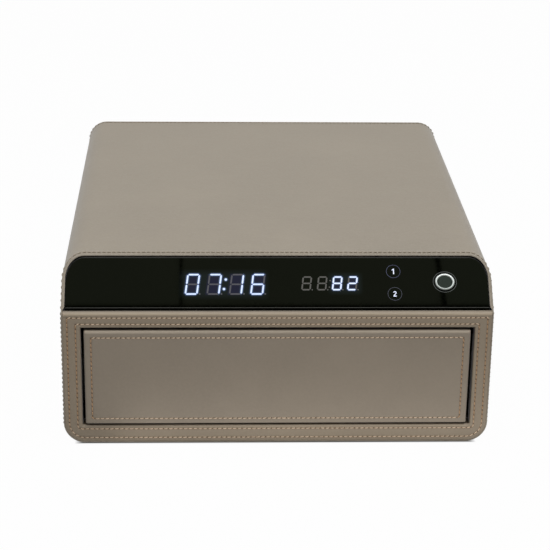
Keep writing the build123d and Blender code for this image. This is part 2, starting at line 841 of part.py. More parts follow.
# Tray liner: felt on the tray's floor and walls
liner_half_width = tray_half_width - tray_wall
liner_top_z = tray_top_z - felt_top_drop
with BuildPart() as tray_liner:
    with BuildSketch(Plane.XY.offset(tray_bottom_z + tray_wall)):
        patch(-liner_half_width, liner_half_width, drawer_back_y + tray_wall, tray_rear_y - tray_wall)
    extrude(amount=liner_top_z - tray_bottom_z - tray_wall)
    with BuildSketch(Plane.XY.offset(tray_bottom_z + tray_wall + felt)):
        patch(
            -liner_half_width + felt,
            liner_half_width - felt,
            drawer_back_y + tray_wall + felt,
            tray_rear_y - tray_wall - felt,
        )
    extrude(amount=tray_top_z, mode=Mode.SUBTRACT)
save(tray_liner, "tray_liner")

# Strike bracket: riveted to the tray's rear wall, slotted for the bolt
slot_margin = bolt_clearance + strike_slot_gap
with BuildPart() as strike_bracket:
    with BuildSketch(Plane.YZ.offset(bolt_x - strike_half_width)):
        patch(tray_rear_y, tray_rear_y + strike_sheet, strike_z - strike_leg, strike_z + strike_sheet)
        patch(tray_rear_y, tray_rear_y + strike_reach, strike_z, strike_z + strike_sheet)
    extrude(amount=2 * strike_half_width)
    with BuildSketch(Plane.XY.offset(strike_z)):
        patch(
            bolt_x - bolt_half_width - slot_margin,
            bolt_x + bolt_half_width + slot_margin,
            rack_tip_y - slot_margin,
            bolt_back_y + slot_margin,
        )
    extrude(amount=strike_sheet, mode=Mode.SUBTRACT)
save(strike_bracket, "strike_bracket")

# Lock bolt: a bar whose front face is a rack, with the tab that the key's cam lifts
circular_pitch = math.pi * gear_module
slope = math.tan(math.radians(pressure_angle))
rack_tip_half = (circular_pitch - tooth_backlash) / 4 - addendum * slope
rack_root_half = (circular_pitch - tooth_backlash) / 4 + dedendum * slope
with BuildPart() as lock_bolt:
    with BuildSketch(Plane.YZ.offset(bolt_x - bolt_half_width)):
        patch(rack_root_y, bolt_back_y, bolt_low_z, bolt_high_z)
        patch(rack_tip_y, bolt_back_y, bolt_low_z, bolt_low_z + bolt_foot_length)
        for tooth in range(-rack_teeth_below, rack_teeth_above):
            tooth_z = pinion_z + (tooth + 0.5) * circular_pitch
            with BuildLine():
                Polyline(
                    (rack_root_y, tooth_z - rack_root_half),
                    (rack_tip_y, tooth_z - rack_tip_half),
                    (rack_tip_y, tooth_z + rack_tip_half),
                    (rack_root_y, tooth_z + rack_root_half),
                    close=True,
                )
            make_face()
    extrude(amount=2 * bolt_half_width)
    with BuildSketch(across(bolt_back_y + tab_reach)):
        patch(bolt_x - tab_width / 2, bolt_x + tab_width / 2, tab_low_z, tab_low_z + tab_thickness)
    extrude(amount=tab_reach)
save(lock_bolt, "lock_bolt")

# Lock pinion: the gear on the shaft that turns in the gear motor
root_radius = pitch_radius - dedendum
tip_radius = pitch_radius + addendum
base_radius = pitch_radius * math.cos(math.radians(pressure_angle))


def involute(angle):
    """Return the involute function of an angle in radians."""
    return math.tan(angle) - angle


def tooth_half_angle(radius):
    """Return half the angle that a pinion tooth fills at this radius."""
    at_pitch = (circular_pitch - tooth_backlash) / (4 * pitch_radius)
    at_base = at_pitch + involute(math.radians(pressure_angle))
    if radius <= base_radius:
        return at_base
    return at_base - involute(math.acos(base_radius / radius))


flank_radii = (root_radius - 0.5, base_radius, pitch_radius, pitch_radius + addendum / 2, tip_radius)
flank = [(r * math.cos(tooth_half_angle(r)), r * math.sin(tooth_half_angle(r))) for r in flank_radii]
other_flank = [(x, -y) for x, y in reversed(flank)]
with BuildPart() as lock_pinion:
    with BuildSketch(Plane.YZ.offset(bolt_x - pinion_width / 2)):
        with Locations((pinion_y, pinion_z)):
            Circle(root_radius)
            with PolarLocations(0, pinion_teeth):
                Polygon(*flank, *other_flank, align=None)
    extrude(amount=pinion_width)
    with BuildSketch(Plane.YZ.offset(motor_end_x - shaft_in_motor)):
        with Locations((pinion_y, pinion_z)):
            Circle(shaft_radius)
    extrude(amount=bolt_x - motor_end_x + shaft_in_motor)
save(lock_pinion, "lock_pinion")

# Gear motor: gearbox and can, with the bearing hole for the pinion's shaft
motor_start_x = motor_end_x - motor_size[0]
with BuildPart() as lock_motor:
    with BuildSketch(Plane.YZ.offset(motor_start_x)):
        with Locations((pinion_y, pinion_z)):
            Rectangle(motor_size[1], motor_size[2])
    extrude(amount=motor_size[0])
    with BuildSketch(Plane.YZ.offset(motor_end_x - shaft_in_motor - 1)):
        with Locations((pinion_y, pinion_z)):
            Circle(shaft_radius + shaft_clearance)
    extrude(amount=shaft_in_motor + 1, mode=Mode.SUBTRACT)
save(lock_motor, "lock_motor")

# Lock housing: the cast base with the bolt's guides and the motor's cradle
housing_front_y = pinion_y - motor_size[1] / 2 - 2 * cheek
housing_back_y = bolt_back_y + 2 * guide_wall
guide_inner = bolt_half_width + bolt_clearance
motor_low_z = pinion_z - motor_size[2] / 2
with BuildPart() as lock_housing:
    with BuildSketch(Plane.XY.offset(bay_z)):
        patch(motor_start_x - cheek, bolt_x + guide_inner + 2 * guide_wall, housing_front_y, housing_back_y)
    extrude(amount=housing_base)
    with BuildSketch(Plane.XY.offset(bay_z)):
        patch(
            bolt_x - guide_inner - guide_wall,
            bolt_x + guide_inner + guide_wall,
            rack_tip_y - guide_wall,
            housing_back_y - guide_wall,
        )
    extrude(amount=guide_height)
    with BuildSketch(Plane.XY.offset(bay_z)):
        for side in (-1, 1):
            wall_x = bolt_x + side * guide_inner
            wall_end_y = housing_back_y - guide_wall
            patch(wall_x, wall_x + side * guide_wall, rack_root_y + bolt_clearance, wall_end_y)
            patch(
                wall_x,
                wall_x - side * (guide_inner - tab_width / 2 - 2 * bolt_clearance),
                bolt_back_y + bolt_clearance,
                wall_end_y,
            )
    extrude(amount=bolt_high_z - bay_z)
    with BuildSketch(Plane.XY.offset(bay_z)):
        cradle_half = motor_size[1] / 2 + cheek
        patch(motor_start_x, motor_end_x, pinion_y - cradle_half, pinion_y + cradle_half)
    extrude(amount=motor_low_z - bay_z)
    with BuildSketch(Plane.YZ.offset(motor_start_x)):
        for side in (-1, 1):
            edge = pinion_y + side * motor_size[1] / 2
            patch(edge, edge + side * cheek, bay_z, pinion_z)
    extrude(amount=motor_size[0])
    with BuildSketch(Plane.XY.offset(bay_z)):
        patch(
            bolt_x - guide_inner,
            bolt_x + guide_inner,
            rack_tip_y - bolt_clearance,
            bolt_back_y + bolt_clearance,
        )
    extrude(amount=bolt_high_z, mode=Mode.SUBTRACT)
save(lock_housing, "lock_housing")

# Bolt switch: tells the board that the bolt is home
with BuildPart() as bolt_switch:
    with BuildSketch(Plane.XY.offset(bolt_high_z - 2 * switch_size[2])):
        switch_x = bolt_x + guide_inner + guide_wall
        switch_half = switch_size[1] / 2
        patch(switch_x, switch_x + switch_size[0], bolt_back_y - switch_half, bolt_back_y + switch_half)
    extrude(amount=switch_size[2])
save(bolt_switch, "bolt_switch")

# Override lock in the back panel: cylinder, nut, keyed plug and cam
with BuildPart() as key_cylinder:
    with BuildSketch(across(panel_outer_y + cylinder_flange)):
        with Locations((key_x, key_z)):
            Circle(cylinder_flange_radius)
    extrude(amount=cylinder_flange)
    with BuildSketch(across(panel_outer_y)):
        with Locations((key_x, key_z)):
            Circle(cylinder_radius)
    extrude(amount=cylinder_length)
    chamfer(key_cylinder.edges().group_by(Axis.Y)[-1], length=cylinder_chamfer)
    with BuildSketch(across(panel_outer_y + cylinder_flange)):
        with Locations((key_x, key_z)):
            Circle(plug_radius + plug_clearance)
    extrude(amount=cylinder_flange + cylinder_length, mode=Mode.SUBTRACT)
save(key_cylinder, "key_cylinder")

with BuildPart() as key_cylinder_nut:
    with BuildSketch(across(panel_inner_y)):
        with Locations((key_x, key_z)):
            RegularPolygon(cylinder_nut_radius, 6)
            Circle(cylinder_radius, mode=Mode.SUBTRACT)
    extrude(amount=cylinder_nut_height)
save(key_cylinder_nut, "key_cylinder_nut")

cylinder_end_y = panel_outer_y - cylinder_length
cam_back_y = cylinder_end_y - touch_gap
plug_face_y = panel_outer_y + cylinder_flange - touch_gap
with BuildPart() as key_plug:
    with BuildSketch(across(plug_face_y)):
        with Locations((key_x, key_z)):
            Circle(plug_radius)
    extrude(amount=plug_face_y - cam_back_y)
    with BuildSketch(across(cam_back_y)):
        with Locations((key_x, key_z)):
            Rectangle(cam_square, cam_square)
    extrude(amount=cam_thickness)
    with BuildSketch(across(plug_face_y)):
        with Locations((key_x, key_z)):
            Rectangle(keyway_width, keyway_height)
    extrude(amount=keyway_depth, mode=Mode.SUBTRACT)
save(key_plug, "key_plug")

finger_length = key_x - bolt_x + cam_overreach
with BuildPart() as key_cam:
    with BuildSketch(across(cam_back_y)):
        with Locations((key_x, key_z)):
            Circle(plug_radius)
        patch(key_x - cam_width / 2, key_x + cam_width / 2, key_z - finger_length, key_z)
        with Locations((key_x, key_z)):
            Rectangle(cam_square, cam_square, mode=Mode.SUBTRACT)
    extrude(amount=cam_thickness)
save(key_cam, "key_cam")


def ejector_barrel(x):
    """Make the flanged barrel on the back panel that holds a spring and its plunger."""
    with BuildPart() as barrel:
        with BuildSketch(across(panel_inner_y)):
            with Locations((x, ejector_z)):
                Circle(barrel_flange_radius)
        extrude(amount=barrel_flange)
        with BuildSketch(across(panel_inner_y)):
            with Locations((x, ejector_z)):
                Circle(barrel_radius)
        extrude(amount=barrel_length)
        with BuildSketch(across(panel_inner_y - barrel_end_wall)):
            with Locations((x, ejector_z)):
                Circle(plunger_radius + plunger_clearance)
        extrude(amount=barrel_length, mode=Mode.SUBTRACT)
    return barrel


plunger_front_y = tray_rear_y + touch_gap
plunger_rear_y = plunger_front_y + plunger_length


def ejector_plunger(x):
    """Make the plunger that pushes the unlocked drawer out, with its wider head."""
    with BuildPart() as plunger:
        with BuildSketch(across(plunger_front_y + plunger_head)):
            with Locations((x, ejector_z)):
                Circle(plunger_head_radius)
        extrude(amount=plunger_head)
        with BuildSketch(across(plunger_rear_y)):
            with Locations((x, ejector_z)):
                Circle(plunger_radius)
        extrude(amount=plunger_length - plunger_head)
    return plunger


def ejector_spring(x):
    """Make the compressed spring behind a plunger as a plain sleeve, hidden in its barrel."""
    spring_back_y = panel_inner_y - barrel_end_wall
    with BuildPart() as spring:
        with BuildSketch(across(spring_back_y)):
            with Locations((x, ejector_z)):
                Circle(plunger_radius)
                Circle(plunger_radius - spring_wall, mode=Mode.SUBTRACT)
        extrude(amount=spring_back_y - plunger_rear_y)
    return spring


for side, word in ((-1, "left"), (1, "right")):
    save(ejector_barrel(side * ejector_x), f"ejector_barrel_{word}")
    save(ejector_plunger(side * ejector_x), f"ejector_plunger_{word}")
    save(ejector_spring(side * ejector_x), f"ejector_spring_{word}")

# Drawer screws: front core to tray, and inner rails to tray
with BuildPart() as drawer_screws:
    with BuildSketch(across(drawer_back_y + tray_wall)):
        with Locations(*front_screw_places):
            Circle(screw_radius)
    extrude(amount=front_screw_reach)
    for side in (-1, 1):
        web_x = side * (tray_half_width + rail_sheet)
        with BuildSketch(Plane.YZ.offset(web_x)):
            with Locations(*[(place, slide_mid_z) for place in rail_screw_places]):
                Circle(rail_screw_head_radius)
        extrude(amount=side * screw_head_height)
        with BuildSketch(Plane.YZ.offset(web_x)):
            with Locations(*[(place, slide_mid_z) for place in rail_screw_places]):
                Circle(rail_screw_radius)
        extrude(amount=-side * (rail_sheet + tray_wall))
save(drawer_screws, "drawer_screws")

# Control board on its spacers, with its chips and connectors
board_z = bay_z + spacer_height
hole_spacing = (board_size[0] - 2 * board_hole_inset, board_size[1] - 2 * board_hole_inset)
board_back_y = board_center[1] + board_size[1] / 2
board_front_y = board_center[1] - board_size[1] / 2
with BuildPart() as control_board:
    with BuildSketch(Plane.XY.offset(board_z)):
        with Locations(board_center):
            Rectangle(*board_size)
            with GridLocations(*hole_spacing, 2, 2):
                Circle(screw_radius, mode=Mode.SUBTRACT)
    extrude(amount=board_thickness)
    with BuildSketch(Plane.XY.offset(board_z + board_thickness)):
        with Locations(board_center):
            Rectangle(processor_size, processor_size)
            with Locations(*driver_places):
                Rectangle(*driver_size)
            connector_y = board_size[1] / 2 - connector_inset
            with Locations((ribbon_x, -connector_y), (lead_connector_x, connector_y)):
                Rectangle(ribbon_width, connector_depth)
    extrude(amount=chip_height)
save(control_board, "control_board")

with BuildPart() as board_spacers:
    with BuildSketch(Plane.XY.offset(bay_z)):
        with Locations(board_center):
            with GridLocations(*hole_spacing, 2, 2):
                Circle(board_spacer_radius)
    extrude(amount=spacer_height)
save(board_spacers, "board_spacers")

with BuildPart() as buzzer:
    with BuildSketch(Plane.XY.offset(board_z + board_thickness)):
        with Locations((board_center[0] + buzzer_place[0], board_center[1] + buzzer_place[1])):
            Circle(buzzer_radius)
            Circle(buzzer_hole_radius, mode=Mode.SUBTRACT)
    extrude(amount=buzzer_height)
save(buzzer, "buzzer")

# Battery holder and its four cells, which keep the lock alive without mains power
with BuildPart() as battery_holder:
    with BuildSketch(Plane.XY.offset(bay_z)):
        with Locations(holder_center):
            Rectangle(*holder_size)
    extrude(amount=holder_height)
    with BuildSketch(Plane.XY.offset(bay_z + holder_wall)):
        with Locations(holder_center):
            Rectangle(holder_size[0] - 2 * holder_wall, holder_size[1] - 2 * holder_wall)
    extrude(amount=holder_height, mode=Mode.SUBTRACT)
save(battery_holder, "battery_holder")

cell_z = bay_z + holder_wall + cell_radius
with BuildPart() as battery_cells:
    with BuildSketch(across(holder_center[1] + cell_length / 2)):
        with Locations((holder_center[0], cell_z)):
            with GridLocations(cell_pitch, 1, cell_count, 1):
                Circle(cell_radius)
    extrude(amount=cell_length)
save(battery_cells, "battery_cells")

# Power inlet in the back panel, and the lead from it to the board
inlet_back_y = panel_outer_y + touch_gap
with BuildPart() as power_inlet:
    with BuildSketch(across(inlet_back_y)):
        with Locations((inlet_x, inlet_z)):
            Rectangle(inlet_width, inlet_height)
            Circle(inlet_bore_radius, mode=Mode.SUBTRACT)
            Circle(inlet_pin_radius)
    extrude(amount=inlet_length)
    with BuildSketch(across(inlet_back_y - inlet_length)):
        with Locations((inlet_x, inlet_z)):
            Rectangle(inlet_width, inlet_height)
    extrude(amount=2 * shell_wall)
save(power_inlet, "power_inlet")

lead_start_y = inlet_back_y - inlet_length - 2 * shell_wall
lead_low_z = bay_z + lead_radius
lead_end_z = board_z + board_thickness / 2
with BuildPart() as power_lead:
    with BuildLine() as lead_line:
        FilletPolyline(
            (inlet_x, lead_start_y, inlet_z),
            (inlet_x, lead_start_y - lead_straight, inlet_z),
            (inlet_x + lead_slope_x, lead_start_y - lead_slope_end, lead_low_z),
            (lead_x, lead_start_y - lead_cross_end, lead_low_z),
            (lead_x, board_back_y + lead_rise_start, lead_low_z),
            (lead_x, board_back_y + lead_rise_end, lead_end_z),
            (lead_x, board_back_y, lead_end_z),
            radius=lead_bend,
        )
    with BuildSketch(across(lead_start_y)):
        with Locations((inlet_x, inlet_z)):
            Circle(lead_radius)
    sweep()
save(power_lead, "power_lead")

# Display ribbon: from the back of the clock display down to the board's front edge
display_back = glass_back + rim_gap + display_depth + display_board
ribbon_start = bevel_plane.from_local_coords((0, clock_place[1], -display_back - ribbon_thickness / 2))
ribbon_end_z = board_z + board_thickness + chip_height + ribbon_thickness / 2
with BuildPart() as display_ribbon:
    with BuildSketch(Plane.YZ.offset(ribbon_x - ribbon_width / 2)):
        with BuildLine() as ribbon_line:
            FilletPolyline(
                (ribbon_start.Y - ribbon_lap, ribbon_start.Z - ribbon_lap),
                (ribbon_start.Y + ribbon_stand_off, ribbon_start.Z + ribbon_stand_off),
                (board_front_y - ribbon_stand_off, ribbon_end_z + ribbon_stand_off),
                (board_front_y + ribbon_lap, ribbon_end_z),
                radius=ribbon_bend,
            )
        trace(ribbon_line.line, line_width=ribbon_thickness)
    extrude(amount=ribbon_width)
save(display_ribbon, "display_ribbon")
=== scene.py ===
import json
import math

import bmesh
import bpy
import numpy as np
from mathutils import Matrix, Vector


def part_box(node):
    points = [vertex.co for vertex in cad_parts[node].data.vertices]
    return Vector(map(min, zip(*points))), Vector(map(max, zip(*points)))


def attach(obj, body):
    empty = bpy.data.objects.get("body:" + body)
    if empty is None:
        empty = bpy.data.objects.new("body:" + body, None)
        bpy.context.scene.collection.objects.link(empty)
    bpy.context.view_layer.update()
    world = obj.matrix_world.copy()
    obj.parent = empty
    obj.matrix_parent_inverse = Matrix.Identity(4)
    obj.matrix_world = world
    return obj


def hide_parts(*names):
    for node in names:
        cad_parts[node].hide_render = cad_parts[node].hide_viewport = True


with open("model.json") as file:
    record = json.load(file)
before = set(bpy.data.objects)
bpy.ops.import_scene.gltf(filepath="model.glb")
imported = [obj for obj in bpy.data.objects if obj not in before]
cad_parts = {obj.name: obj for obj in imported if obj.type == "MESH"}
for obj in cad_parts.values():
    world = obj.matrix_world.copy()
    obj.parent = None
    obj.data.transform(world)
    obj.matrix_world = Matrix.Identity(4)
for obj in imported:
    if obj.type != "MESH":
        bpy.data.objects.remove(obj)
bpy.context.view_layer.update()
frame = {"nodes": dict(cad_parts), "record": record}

scene = bpy.context.scene
scene.view_settings.view_transform = "Standard"
nodes = frame["nodes"]
rng = np.random.default_rng(11)
MM = 0.001
ROOT2 = math.sqrt(2)

# Sizes of the frame, in millimetres
CASE_HALF = 175.0
BASE = 2.0
TOP = 154.0
CORNER = 17.5
FRONT = -210.0
BACK = 210.0
LEDGE = 116.5
LEATHER = 1.2
OPEN_HALF = 159.5
OPEN_LOW = 17.8
OPEN_HIGH = 104.5
LINING_BACK = -196.8

# The stitch rows, each as half width, low, high and corner radius, and how holes and threads sit in the skin
INNER_ROW = np.array([163.5, 14.5, 107.8, 3.0])
OUTER_ROW = np.array([170.3, 6.5, 113.3, 13.0])
DRAWER_ROW = (151.3, 24.4, 96.4, 1.6)
PITCH = 4.04
HOLE_DEPTH, HOLE_WIDTH = 0.60, 0.66
THREAD_SINK = 0.08

# On the glass: its depth below the slope, the clock's digits, and the reader's middle along x and up the slope
GLASS_FACE = 0.4
CLOCK_LOW, CLOCK_TALL = 17.4, 18.4
SMALL_LOW, SMALL_TALL = 21.2, 12.4
DIGIT_LEAN = 7.0
READER = (136.5, 28.6)


def linked(name, data):
    """A new object in the scene."""
    obj = bpy.data.objects.new(name, data)
    scene.collection.objects.link(obj)
    return obj


def smooth(t):
    t = np.clip(t, 0, 1)
    return t * t * (3 - 2 * t)


def bell(d, width):
    return np.exp(-((d / width) ** 2))


def face_y(z):
    """How far forward the front is at a height: upright up to the ledge, then sloping back at 45 degrees."""
    h = np.asarray(z) - LEDGE
    return FRONT + 0.5 * (h + np.sqrt(h * h + 0.5))


def bevel(x, s, d):
    """A point from x, its distance up the slope and its depth below the slope."""
    x, s, d = np.broadcast_arrays(np.asarray(x, float), s, d)
    return np.stack([x, FRONT + (s + d) / ROOT2, LEDGE + (s - d) / ROOT2], -1)


# ---------------- materials
class Nodes:
    """Short ways to add linked nodes to a node tree."""

    def __init__(self, tree):
        self.tree = tree

    def add(self, kind, sockets=(), out=0, **settings):
        """A new node's output. sockets gives its inputs their values, or the outputs that they take them from."""
        node = self.tree.nodes.new("ShaderNode" + kind)
        for key, value in settings.items():
            setattr(node, key, value)
        for key, value in dict(sockets).items():
            if isinstance(value, bpy.types.NodeSocket):
                self.tree.links.new(value, node.inputs[key])
            else:
                node.inputs[key].default_value = value
        return node.outputs[out]

    def math(self, operation, a, b=0.0):
        return self.add("Math", {0: a, 1: b}, operation=operation)

    def product(self, first, *others):
        for other in others:
            first = self.math("MULTIPLY", first, other)
        return first

    def most(self, first, *others):
        for other in others:
            first = self.math("MAXIMUM", first, other)
        return first

    def ranged(self, value, low, high, to_low=0.0, to_high=1.0):
        return self.add("MapRange", {"Value": value, "From Min": low, "From Max": high, "To Min": to_low,
                                     "To Max": to_high})

    def fade(self, value, *at):
        """Goes from 0 to 1 between two places, in millimetres, and back to 0 between a third and a fourth."""
        share = self.ranged(value, at[0] * MM, at[1] * MM)
        return self.product(share, self.ranged(value, at[3] * MM, at[2] * MM)) if at[2:] else share

    def axes(self, where):
        """A place's x, y and z in metres, and how far it lies aside of the middle."""
        split = self.tree.nodes.new("ShaderNodeSeparateXYZ")
        self.tree.links.new(where, split.inputs[0])
        x, y, z = split.outputs
        self.axis = {"x": x, "y": y, "z": z, "aside": self.math("ABSOLUTE", x)}
        return self.axis.values()

    def mask(self, **places):
        """The product of the fades along the axes that are named."""
        return self.product(*(self.fade(self.axis[name], *at) for name, at in places.items()))

    def seen_directly(self):
        """1 for rays from the camera and for those mirrored or passed on by glossy and clear things."""
        path = self.tree.nodes.new("ShaderNodeLightPath").outputs
        return self.most(path["Is Camera Ray"], path["Is Glossy Ray"], path["Is Transmission Ray"])


class Finish(Nodes):
    """A material with a Principled shader, in object coordinates, which are metres in the frame."""

    def __init__(self, name, **uniform):
        self.material = bpy.data.materials.new(name)
        self.material.use_nodes = True
        super().__init__(self.material.node_tree)
        self.tree.nodes.clear()
        out = self.tree.nodes.new("ShaderNodeOutputMaterial")
        self.shader = self.tree.nodes.new("ShaderNodeBsdfPrincipled")
        self.tree.links.new(self.shader.outputs[0], out.inputs[0])
        self.where = self.add("TexCoord", out="Object")
        for key, value in uniform.items():
            self.shader.inputs[key.replace("_", " ")].default_value = value

    def stretched(self, sx, sy, sz, turn=(0, 0, 0)):
        return self.add("Mapping", {"Vector": self.where, "Scale": (sx, sy, sz), "Rotation": turn})

    def noise(self, scale, detail=3.0, rough=0.5, where=None, warp=0.0):
        return self.add("TexNoise", {"Vector": where or self.where, "Scale": scale, "Detail": detail,
                                     "Roughness": rough, "Distortion": warp})

    def cells(self, scale, feature="F1"):
        return self.add("TexVoronoi", {"Vector": self.where, "Scale": scale}, feature=feature)

    def mixed(self, factor, a, b):
        """A colour between a and b. A Mix node's colour sockets are 6, 7 and, coming out, 2."""
        return self.add("Mix", {0: factor, 6: a, 7: b}, out=2, data_type="RGBA")

    def between(self, noise, colour, darker, paler, low=0.3, high=0.7):
        """From a darker to a paler tone of one colour, by a noise."""
        return self.mixed(self.ranged(noise, low, high), toned(colour, darker), toned(colour, paler))

    def bump(self, height, strength, depth, under=None):
        sockets = {"Height": height, "Strength": strength, "Distance": depth}
        if under is not None:
            sockets["Normal"] = under
        return self.add("Bump", sockets)

    def set(self, **sockets):
        for key, value in sockets.items():
            self.tree.links.new(value, self.shader.inputs[key.replace("_", " ")])
        return self


def toned(colour, *factors):
    """A colour times one factor, or times one each for red, green and blue."""
    return (*np.minimum(1.0, np.multiply(colour[:3], factors)).tolist(), 1.0)


def leather_finish(name, colour, painted_light_at_back=False, rows=(), ledge=False):
    """Leather in one tone; rows are the stitch rows, along which the skin is painted darker as shade in the seam.
    """
    m = Finish(name, Specular_IOR_Level=0.5, Sheen_Weight=0.19, Sheen_Roughness=0.45)
    x, y, z, aside = m.axes(m.where)
    clouds = m.noise(10, 3)
    blotches = m.noise(48, 4, 0.6)
    specks = m.noise(420, 3, 0.6)
    tone = m.between(clouds, colour, 0.93, 1.06, 0.35, 0.65)
    tone = m.mixed(m.ranged(blotches, 0.3, 0.7, 0.0, 0.45), tone, toned(colour, 0.92))
    tone = m.mixed(m.ranged(specks, 0.35, 0.7, 0.0, 0.35), tone, toned(colour, 1.10))
    # Painted highlights on the drawer front's top edge and the opening's lower lip
    top_edge_highlight = m.mask(y=(-209.0, -209.6), aside=(157, 156), z=(99.9, 100.6, 102.8, 103.2))
    lower_lip_highlight = m.mask(y=(-207.0, -207.8), aside=(159, 157), z=(15.8, 16.3, 18.0, 18.2), x=(-130, -20))
    tone = m.mixed(m.most(top_edge_highlight, lower_lip_highlight), tone, toned(colour, 1.32))
    # Painted light: the skin is paler towards the back, where the top catches more light
    if painted_light_at_back:
        tone = m.mixed(m.ranged(y, -0.20, 0.21, 0.0, 0.55), tone, toned(colour, 1.09))
    if ledge:  # painted highlight along the roll under the glass, and painted shade in the fold behind it
        tone = m.mixed(m.mask(z=(114.9, 116.1, 116.6, 117.6)), tone, toned(colour, 1.45))
        fold_shade = m.product(m.mask(z=(117.7, 118.4)), m.ranged(x, 0.02, 0.06, 1.0, 0.45))
        tone = m.mixed(fold_shade, tone, toned(colour, 0.60))
    # Painted shade where the skins turn into the drawer's opening, and on the drawer front's lower edge, standing
    # in for the dark of the gaps round the drawer
    start = m.math("ADD", m.ranged(z, 0.0170, 0.0190, 0.0012, 0.0), m.ranged(x, 0.1580, 0.1590, 0.0, -0.0009))
    opening_shade = m.product(m.fade(m.math("SUBTRACT", y, start), -208.8, -207.6),
                      m.mask(y=(-194.0, -194.5), aside=(162.5, 161.5), z=(14.0, 15.0, 106.5, 107.5)))
    under = m.mask(y=(-194.0, -194.5), aside=(158.0, 157.5), z=(18.5, 18.7, 20.0, 20.3))
    tone = m.mixed(m.most(opening_shade, under), tone, toned(colour, 0.16, 0.115, 0.06))
    # Painted shade along each stitch row, between and beside the stitches
    for half, low, high, radius in rows:
        beside = m.most(m.math("SUBTRACT", aside, (half - radius) * MM), 0.0)
        below = m.most(m.math("SUBTRACT", (low + radius) * MM, z), 0.0)
        reach = m.math("SQRT", m.math("ADD", m.product(beside, beside), m.product(below, below)))
        gap = m.most(m.math("SUBTRACT", reach, radius * MM), m.math("SUBTRACT", z, high * MM))
        near = m.product(m.fade(m.math("ABSOLUTE", gap), 0.72, 0.45), m.mask(y=(-208.0, -208.6)))
        tone = m.mixed(near, tone, toned(colour, 0.58, 0.45, 0.32))
    pebbles = m.cells(900, "SMOOTH_F1")
    creases = m.noise(1500, 4, 0.65)
    grain = m.math("ADD", m.product(pebbles, -0.7), m.product(creases, 0.6))
    normal = m.bump(grain, 0.30, 0.00022, m.bump(blotches, 0.35, 0.0006))
    rough = m.ranged(m.math("ADD", pebbles, specks), 0.4, 1.5, 0.62, 0.50)
    return m.set(Base_Color=tone, Roughness=rough, Normal=normal).material


def thread_finish(name, colour, upright=None):
    """Waxed thread; upright is its darker tone in the rows up the sides, painted shade for threads that face no
    light from above.
    """
    m = Finish(name, Specular_IOR_Level=0.3, Sheen_Weight=0.15, Sheen_Roughness=0.4)
    fibres = m.noise(2600, 3, 0.6)
    along = m.noise(160, 2)
    tone = m.between(fibres, colour, 0.78, 1.15)
    tone = m.mixed(m.ranged(along, 0.35, 0.65, 0.0, 0.5), tone, toned(colour, 0.80))
    # Painted shade: the threads in the rows up the sides take the darker tone
    if upright:
        m.axes(m.where)
        rows = ((149.0, 95.0), (161.8, 106.6), (168.0, 112.2))  # where each row's side starts, and its top
        sides = [m.mask(aside=(near, near + 1.5), z=(12, 26, top, top + 0.8)) for near, top in rows]
        tone = m.mixed(m.most(*sides), tone, upright)
    return m.set(Base_Color=tone, Roughness=m.ranged(fibres, 0.2, 0.8, 0.6, 0.85),
                 Normal=m.bump(fibres, 0.5, 0.0002)).material


def moulded_finish(name, colour, rough=0.5, texture=1300.0, depth=0.00006, **uniform):
    m = Finish(name, **uniform)
    patches = m.noise(26, 3)
    grain = m.noise(texture, 3, 0.6)
    tone = m.between(patches, colour, 0.90, 1.08)
    tone = m.mixed(m.ranged(grain, 0.3, 0.75, 0.0, 0.3), tone, toned(colour, 1.25))
    return m.set(Base_Color=tone, Roughness=m.ranged(grain, 0.25, 0.75, rough - 0.08, rough + 0.1),
                 Normal=m.bump(grain, 0.35, depth)).material


def metal_finish(name, colour, rough=0.3, brushed=(40, 1600, 1600), shaded_ends=False, **uniform):
    """Brushed metal; the flag for the ends blackens the fixed rails' front ends, as painted shade where they show
    in the gaps beside the drawer.
    """
    m = Finish(name, Metallic=1.0, **uniform)
    lines = m.noise(1.0, 4, 0.6, m.stretched(*brushed))
    smears = m.noise(30, 4, 0.6)
    tone = m.between(lines, colour, 0.88, 1.06, 0.25, 0.75)
    tone = m.mixed(m.ranged(smears, 0.35, 0.7, 0.0, 0.35), tone, toned(colour, 0.80))
    if shaded_ends:
        m.axes(m.where)
        # Painted shade on the fixed rails' front ends, seen in the gaps beside the drawer
        tone = m.mixed(m.mask(aside=(155.8, 156.4), y=(-186, -190)), tone, toned(colour, 0.04))
    rough_map = m.math("ADD", m.ranged(lines, 0.2, 0.8, rough - 0.06, rough + 0.08),
                       m.ranged(smears, 0.3, 0.7, -0.03, 0.06))
    return m.set(Base_Color=tone, Roughness=rough_map, Normal=m.bump(lines, 0.25, 0.00004)).material


def painted_finish(name, colour, rough=0.6):
    m = Finish(name, Specular_IOR_Level=0.25)
    peel = m.cells(420, "SMOOTH_F1")
    patches = m.noise(18, 3)
    dust = m.noise(700, 4, 0.65)
    tone = m.between(patches, colour, 0.90, 1.10)
    tone = m.mixed(m.ranged(dust, 0.45, 0.8, 0.0, 0.35), tone, toned(colour, 1.6))
    return m.set(Base_Color=tone, Roughness=m.ranged(peel, 0.0, 0.9, rough - 0.08, rough + 0.12),
                 Normal=m.bump(peel, 0.4, 0.00012)).material


def felt_finish(name, colour):
    m = Finish(name, Sheen_Weight=0.6, Sheen_Roughness=0.55, Specular_IOR_Level=0.15)
    fuzz = m.noise(1700, 5, 0.75, warp=0.6)
    strands = m.noise(1.0, 3, 0.6, m.stretched(260, 900, 260, (0.4, 0.2, 0.9)), warp=1.2)
    worn = m.noise(22, 3)
    tone = m.between(fuzz, colour, 0.6, 1.5)
    tone = m.mixed(m.ranged(worn, 0.3, 0.7, 0.0, 0.3), tone, toned(colour, 1.35))
    height = m.math("ADD", fuzz, m.product(strands, 0.6))
    return m.set(Base_Color=tone, Roughness=m.ranged(strands, 0.3, 0.7, 0.85, 0.98),
                 Normal=m.bump(height, 0.7, 0.0005)).material


